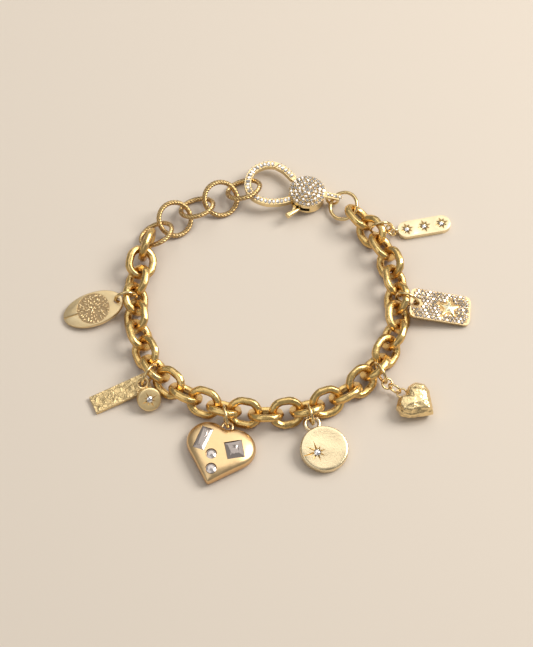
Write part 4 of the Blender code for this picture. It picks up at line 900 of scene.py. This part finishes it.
# The large heart: cast hollow and puffed, its rim rounded over, in satin gold with a rosy cast.
# Four foiled crystals are sunk into seats cut in its face: a baguette, a square and two rounds.
HEART_WIDTH = 0.0160
HEART_THICKNESS = 0.0034
HEART_EYE = 0.0018
EYE_WIRE = 0.0006
STONE_DEPTH = 0.0007
PUFF_MIDDLE = 0.0065
PUFF_RADIUS = 0.0050
PUFF_FLAT = 0.7
PUFF_FALL = 0.30
PUFF_LEAST = 0.62
SEAT_SPACE = 0.0002
SEAT_DEPTH = 0.004
HEART_HUNG = ((-0.0091077, -0.0285511, 0.0022), -108.0, 0.0)
HEART_STONES = {
    "heart_baguette": (0.0056, 0.0026, 0.226, -0.262, -4.0),
    "heart_square": (0.0041, 0.0039, 0.264, 0.216, 29.0),
    "heart_round_a": (0.0024, 0.0024, 0.427, -0.075, 0.0),
    "heart_round_b": (0.0024, 0.0024, 0.640, -0.006, 0.0),
}

# The heart's gold carries painted shade on its underside and in its creases.
heart_finish = gold_finish("heart_gold", (0.88, 0.63, 0.33), 0.33, 1500.0, 0.00001, 0.05, painted_underside_shade=0.6)
smoke_finish = crystal_finish("smoke_crystal", (0.40, 0.345, 0.315), 0.12, 0.6)
pale_smoke_finish = crystal_finish("pale_smoke_crystal", (0.64, 0.58, 0.55), 0.12, 0.6)

heart_place = hung(*HEART_HUNG)
heart_reach = HEART_EYE / 2.0 + EYE_WIRE - 0.7 * EYE_WIRE
heart_top = HEART_THICKNESS / 2.0 - 0.0005


def heart_blank(name, width, thickness, reach, middle_z):
    """A heart: a square on its corner with a round lobe on each upper side."""
    side = width / (1.0 + math.sqrt(0.5))
    middle = (reach + math.sqrt(0.5) * width / (1.0 + math.sqrt(0.5)), 0.0, middle_z)
    heart = block_of(name, (side, side, thickness), middle, math.pi / 4.0)
    lobe = math.sqrt(0.125) * width / (1.0 + math.sqrt(0.5))
    for way in (-1.0, 1.0):
        cut_away(heart, drill(side, (reach + lobe, way * lobe, middle_z), thickness, 64), "UNION")
    return heart


heart = heart_blank("heart_body", HEART_WIDTH, HEART_THICKNESS, heart_reach,
                    heart_top - HEART_THICKNESS / 2.0)
sharp_box = [Vector(heart.bound_box[0]), Vector(heart.bound_box[6])]
work(heart, "BEVEL", width=0.0012, segments=4, limit_method="ANGLE", angle_limit=math.radians(60.0))
work(heart, "REMESH", mode="VOXEL", voxel_size=0.00017)
work(heart, "SMOOTH", factor=0.5, iterations=260)
round_box = [Vector(heart.bound_box[0]), Vector(heart.bound_box[6])]
back = Matrix.Diagonal([(sharp_box[1][i] - sharp_box[0][i]) / (round_box[1][i] - round_box[0][i])
                        for i in range(3)] + [1.0])
heart.data.transform(Matrix.Translation(sharp_box[0]) @ back @ Matrix.Translation(-round_box[0]))
for vert in heart.data.vertices:
    out = max(0.0, (vert.co.xy - Vector((PUFF_MIDDLE, 0.0))).length / PUFF_RADIUS - PUFF_FLAT)
    vert.co.z = sharp_box[0].z + (vert.co.z - sharp_box[0].z) * max(PUFF_LEAST, 1.0 - PUFF_FALL * out ** 2)
cut_away(heart, wire_eye(HEART_EYE, EYE_WIRE), "UNION")
seat_floor = heart_top - STONE_DEPTH
for node, (length, width, along, aside, turn) in HEART_STONES.items():
    spot = (heart_reach + along * HEART_WIDTH, aside * HEART_WIDTH, 0.0)
    place = Matrix.Translation(spot) @ Matrix.Rotation(math.radians(turn), 4, "Z")
    girdle = Matrix.Translation((0.0, 0.0, heart_top - 0.50 * STONE_DEPTH))
    if length == width:
        seat = drill(width + SEAT_SPACE, (0.0, 0.0, seat_floor + SEAT_DEPTH / 2.0), SEAT_DEPTH)
        brilliant(node + "_stone", width, 0.00035, 0.0003, heart_place @ place @ girdle,
                  pale_smoke_finish, node)
    else:
        seat = block_of("seat", (length + SEAT_SPACE, width + SEAT_SPACE, SEAT_DEPTH),
                        (0.0, 0.0, seat_floor + SEAT_DEPTH / 2.0))
        stone = block_of(node + "_stone", (length, width, 0.0002), (0.0, 0.0, 0.0))
        bpy.ops.object.mode_set(mode="EDIT")
        pick(stone, lambda co: co.z > 0.0)
        bpy.ops.mesh.inset(thickness=0.18 * width, depth=0.00018)
        bpy.ops.mesh.inset(thickness=0.10 * width, depth=0.00005)
        bpy.ops.mesh.subdivide(number_cuts=3)
        pick(stone, lambda co: co.z > 0.00029)
        bpy.ops.transform.vertex_random(offset=0.00008, uniform=1.0, seed=8)
        bpy.ops.mesh.quads_convert_to_tris()
        bpy.ops.object.mode_set(mode="OBJECT")
        stone.data.transform(heart_place @ place @ girdle)
        stone.data.materials.append(smoke_finish)
        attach(stone, "bracelet")
        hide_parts(node)
    seat.data.transform(place)
    cut_away(heart, seat)
settle_piece(heart, heart_place, "heart_charm", heart_finish, 45.0)


# The disc charm: a thick round disc, cast and polished, its outline and face softly uneven. An
# eight-rayed star is cut by hand round one clear stone, off the middle. The eye is stout wire.
DISC = 0.0108
DISC_THICKNESS = 0.0020
DISC_EYE = 0.0024
BIG_WIRE = 0.0009
DISC_STONE = 0.0015
DISC_HUNG = ((0.0101307, -0.0277300, 0.0023844), -66.0, 6.8287)
DISC_RAYS = [1.75, 1.27, 1.39, 0.83, 1.06, 1.17, 1.35, 1.18]

disc_place = hung(*DISC_HUNG)
disc_middle = DISC_EYE / 2.0 + BIG_WIRE + DISC / 2.0 - 0.9 * BIG_WIRE
disc_finish = gold_finish("disc_gold", (0.89, 0.73, 0.46), 0.26, 2400.0, 0.00002, 0.05)
disc = plate_of("disc_body", DISC + 0.0001, DISC + 0.0001, DISC_THICKNESS + 0.0001, disc_middle, 64)
work(disc, "REMESH", mode="VOXEL", voxel_size=0.00013)
work(disc, "SMOOTH", factor=0.5, iterations=60)
uneven = cast_texture("uneven", "CLOUDS", 0.0042, noise_depth=0)
work(disc, "DISPLACE", texture=uneven, strength=0.00022, mid_level=0.5, texture_coords="LOCAL")
cut_away(disc, wire_eye(DISC_EYE, BIG_WIRE), "UNION")
star_spot = Vector((disc_middle + 0.024 * DISC, -0.174 * DISC, DISC_THICKNESS / 2.0))
cut_away(disc, star_tool([share * DISC_STONE * 1.25 for share in DISC_RAYS], 0.45 * DISC_STONE, 0.0008,
                         star_spot, math.radians(175.5)))
stone_seat = (star_spot.x, star_spot.y, star_spot.z - 0.0006 + 0.002)
cut_away(disc, drill(DISC_STONE + 0.0001, stone_seat, 0.004))
settle_piece(disc, disc_place, "disc_charm", disc_finish, 45.0)
brilliant("disc_stone_cut", DISC_STONE, 0.0003, 0.0002,
          disc_place @ Matrix.Translation(star_spot - Vector((0.0, 0.0, 0.00022))), gem_finish,
          "disc_stone")


# The small heart: cast solid with flat planes meeting at soft ridges, its surface pitted and
# dimpled all over, in bright yellow gold.
PIT_SIZE = 0.0012
PIT_DEPTH = 0.00013

pitted_finish = gold_finish("pitted_gold", (0.88, 0.68, 0.36), 0.25, 1900.0, 0.00011, 0.08)
small_heart = merged_copy("small_heart_charm", "small_heart_body", pitted_finish, angle=60.0)
work(small_heart, "REMESH", mode="VOXEL", voxel_size=0.00010)
work(small_heart, "SMOOTH", factor=0.5, iterations=3)
pits = cast_texture("pits", "VORONOI", PIT_SIZE, noise_intensity=1.3)
work(small_heart, "DISPLACE", texture=pits, strength=PIT_DEPTH, mid_level=0.45, texture_coords="LOCAL")
bpy.ops.object.shade_smooth_by_angle(angle=math.radians(60.0))


# The tag: a rounded plate, pave-set all over its face round a polished raised star, with a
# drilled hole near one end.
TAG_STAR = 0.0027
TAG_STAR_HEIGHT = 0.00060
TAG_STAR_PLACE = (0.0077, 0.0, 0.0005)
TAG_STAR_TURN = 18.0
TAG_LENGTH = 0.0143
TAG_WIDTH = 0.0075
TAG_TOP = 0.00055
TAG_PITCH = 0.00090
TAG_EDGE = 0.00050
TAG_GRAIN_RADIUS = 0.00012
TAG_GRAIN_REACH = 0.00053
TAG_HUNG = ((0.0344935, 0.0031464, 0.0027640), -5.2, 10.0968)

tag = merged_copy("tag_charm", "tag_plate", clasp_finish)
sink_stones(tag)
star_finish = gold_finish("star_gold", (1.0, 0.88, 0.62), 0.38, 2200.0, 0.00001)
bpy.ops.object.select_all(action="DESELECT")
bpy.ops.mesh.primitive_cone_add(vertices=10, radius1=TAG_STAR, radius2=0.0, depth=TAG_STAR_HEIGHT)
tag_star = start_piece("tag_star")
bpy.ops.object.mode_set(mode="EDIT")
pick(tag_star, lambda co: co.z < 0.0 and round(math.atan2(co.x, co.y) / (math.pi / 5.0)) % 2 == 1)
bpy.ops.transform.resize(value=(0.42, 0.42, 1.0), center_override=(0.0, 0.0, 0.0))
bpy.ops.object.mode_set(mode="OBJECT")
star_middle = TAG_STAR_PLACE[2] + TAG_STAR_HEIGHT / 2.0
tag_star.data.transform(Matrix.Translation((*TAG_STAR_PLACE[:2], star_middle))
                        @ Matrix.Rotation(math.radians(TAG_STAR_TURN - 90.0), 4, "Z"))
work(tag_star, "BEVEL", width=0.00012, segments=3, limit_method="NONE")
tag_place = hung(*TAG_HUNG)
settle_piece(tag_star, tag_place, None, star_finish, 30.0)

for vert in tag.data.vertices:
    spot = tag_place.inverted() @ vert.co
    if spot.z > TAG_TOP + 0.0003:
        vert.co = tag_place @ Vector((spot.x, spot.y, TAG_TOP + 0.0002))
# Painted shade on the low face between the tag's stones.
paint_shade_between_stones(tag, lambda face: face.normal.z > 0.9
              and (tag_place.inverted() @ face.center).z < TAG_TOP + 0.00003)

tag_middle = TAG_LENGTH / 2.0 - PLATE_RIM
tag_spots = []
row_count = round((TAG_WIDTH - 2.0 * TAG_EDGE) / (0.87 * TAG_PITCH))
row_pitch = (TAG_WIDTH - 2.0 * TAG_EDGE) / row_count
for row in range(row_count + 1):
    y = (row - row_count / 2.0) * row_pitch
    reach = TAG_LENGTH / 2.0 - TAG_EDGE - (0.0004 if row in (0, row_count) else 0.0)
    for step in range(-8, 9):
        x = tag_middle + (step + 0.5 * (row % 2)) * TAG_PITCH
        from_star = Vector((x - TAG_STAR_PLACE[0], y))
        tip = math.radians(72.0) * round((math.atan2(from_star.y, from_star.x)
                                          - math.radians(TAG_STAR_TURN)) / math.radians(72.0))
        ray = Vector((math.cos(tip + math.radians(TAG_STAR_TURN)),
                      math.sin(tip + math.radians(TAG_STAR_TURN))))
        along = from_star.dot(ray)
        aside = (from_star - along * ray).length
        on_star = along < TAG_STAR + 0.0002 and aside < 0.40 * (TAG_STAR - along) + 0.0004
        if abs(x - tag_middle) < reach and math.hypot(x, y) > 0.0014 and not on_star:
            tag_spots.append(tag_place @ Matrix.Translation((x, y, TAG_TOP)))
tag_stone = pave_stone_model(0.96 * TAG_PITCH, PAVE_CROWN)
tag_bead = bead_model(TAG_GRAIN_RADIUS)
tag_crystal = crystal_finish("tag_crystal", (0.72, 0.65, 0.58), 0.07, 0.8)
set_pave("tag", tag_spots, tag_crystal, "bracelet", tag_stone, tag_bead, TAG_GRAIN_REACH)
bpy.data.objects.remove(tag_stone)
bpy.data.objects.remove(tag_bead)


# The pill: a long plate with round ends, polished pale gold, with three eight-rayed stars cut
# into its face and a bead-set stone in the middle of each. Its small eye stands upright.
PILL_LENGTH = 0.0127
PILL_WIDTH = 0.0043
PILL_THICKNESS = 0.0013
PILL_EYE = 0.0011
PILL_PITCH = 0.0042
PILL_HUNG = ((0.0301839, 0.0235942, 0.0010500), 11.5, 0.4362)

pill_place = hung(*PILL_HUNG)
pill_top = PILL_THICKNESS / 2.0 - 0.0003
pill_middle = PILL_EYE / 2.0 + 0.3 * SMALL_WIRE + PILL_LENGTH / 2.0
pill_straight = PILL_LENGTH - PILL_WIDTH
pill_finish = gold_finish("pill_gold", (0.83, 0.68, 0.41), 0.34, 2400.0, 0.00001, 0.04)
pill = block_of("pill_plate", (pill_straight, PILL_WIDTH, PILL_THICKNESS),
                (pill_middle, 0.0, pill_top - PILL_THICKNESS / 2.0))
for way in (-1.0, 1.0):
    cut_away(pill, drill(PILL_WIDTH, (pill_middle + way * pill_straight / 2.0, 0.0,
                                      pill_top - PILL_THICKNESS / 2.0), PILL_THICKNESS, 48), "UNION")
work(pill, "BEVEL", width=0.00022, segments=3, limit_method="ANGLE", angle_limit=math.radians(60.0))
cut_away(pill, wire_eye(PILL_EYE, SMALL_WIRE, Matrix.Rotation(math.pi / 2.0, 4, "X")), "UNION")
for i in (-1, 0, 1):
    spot = (pill_middle + i * PILL_PITCH, 0.0, pill_top)
    cut_away(pill, star_tool([0.0017, 0.0014] * 4, 0.00085, 0.0007, spot, math.radians(10.0)))
    brilliant(f"pill_stone_{i + 2}", 0.0011, 0.00022, 0.0002,
              pill_place @ Matrix.Translation((spot[0], 0.0, pill_top - 0.0002)), gem_finish)
settle_piece(pill, pill_place, "pill_charm", pill_finish)
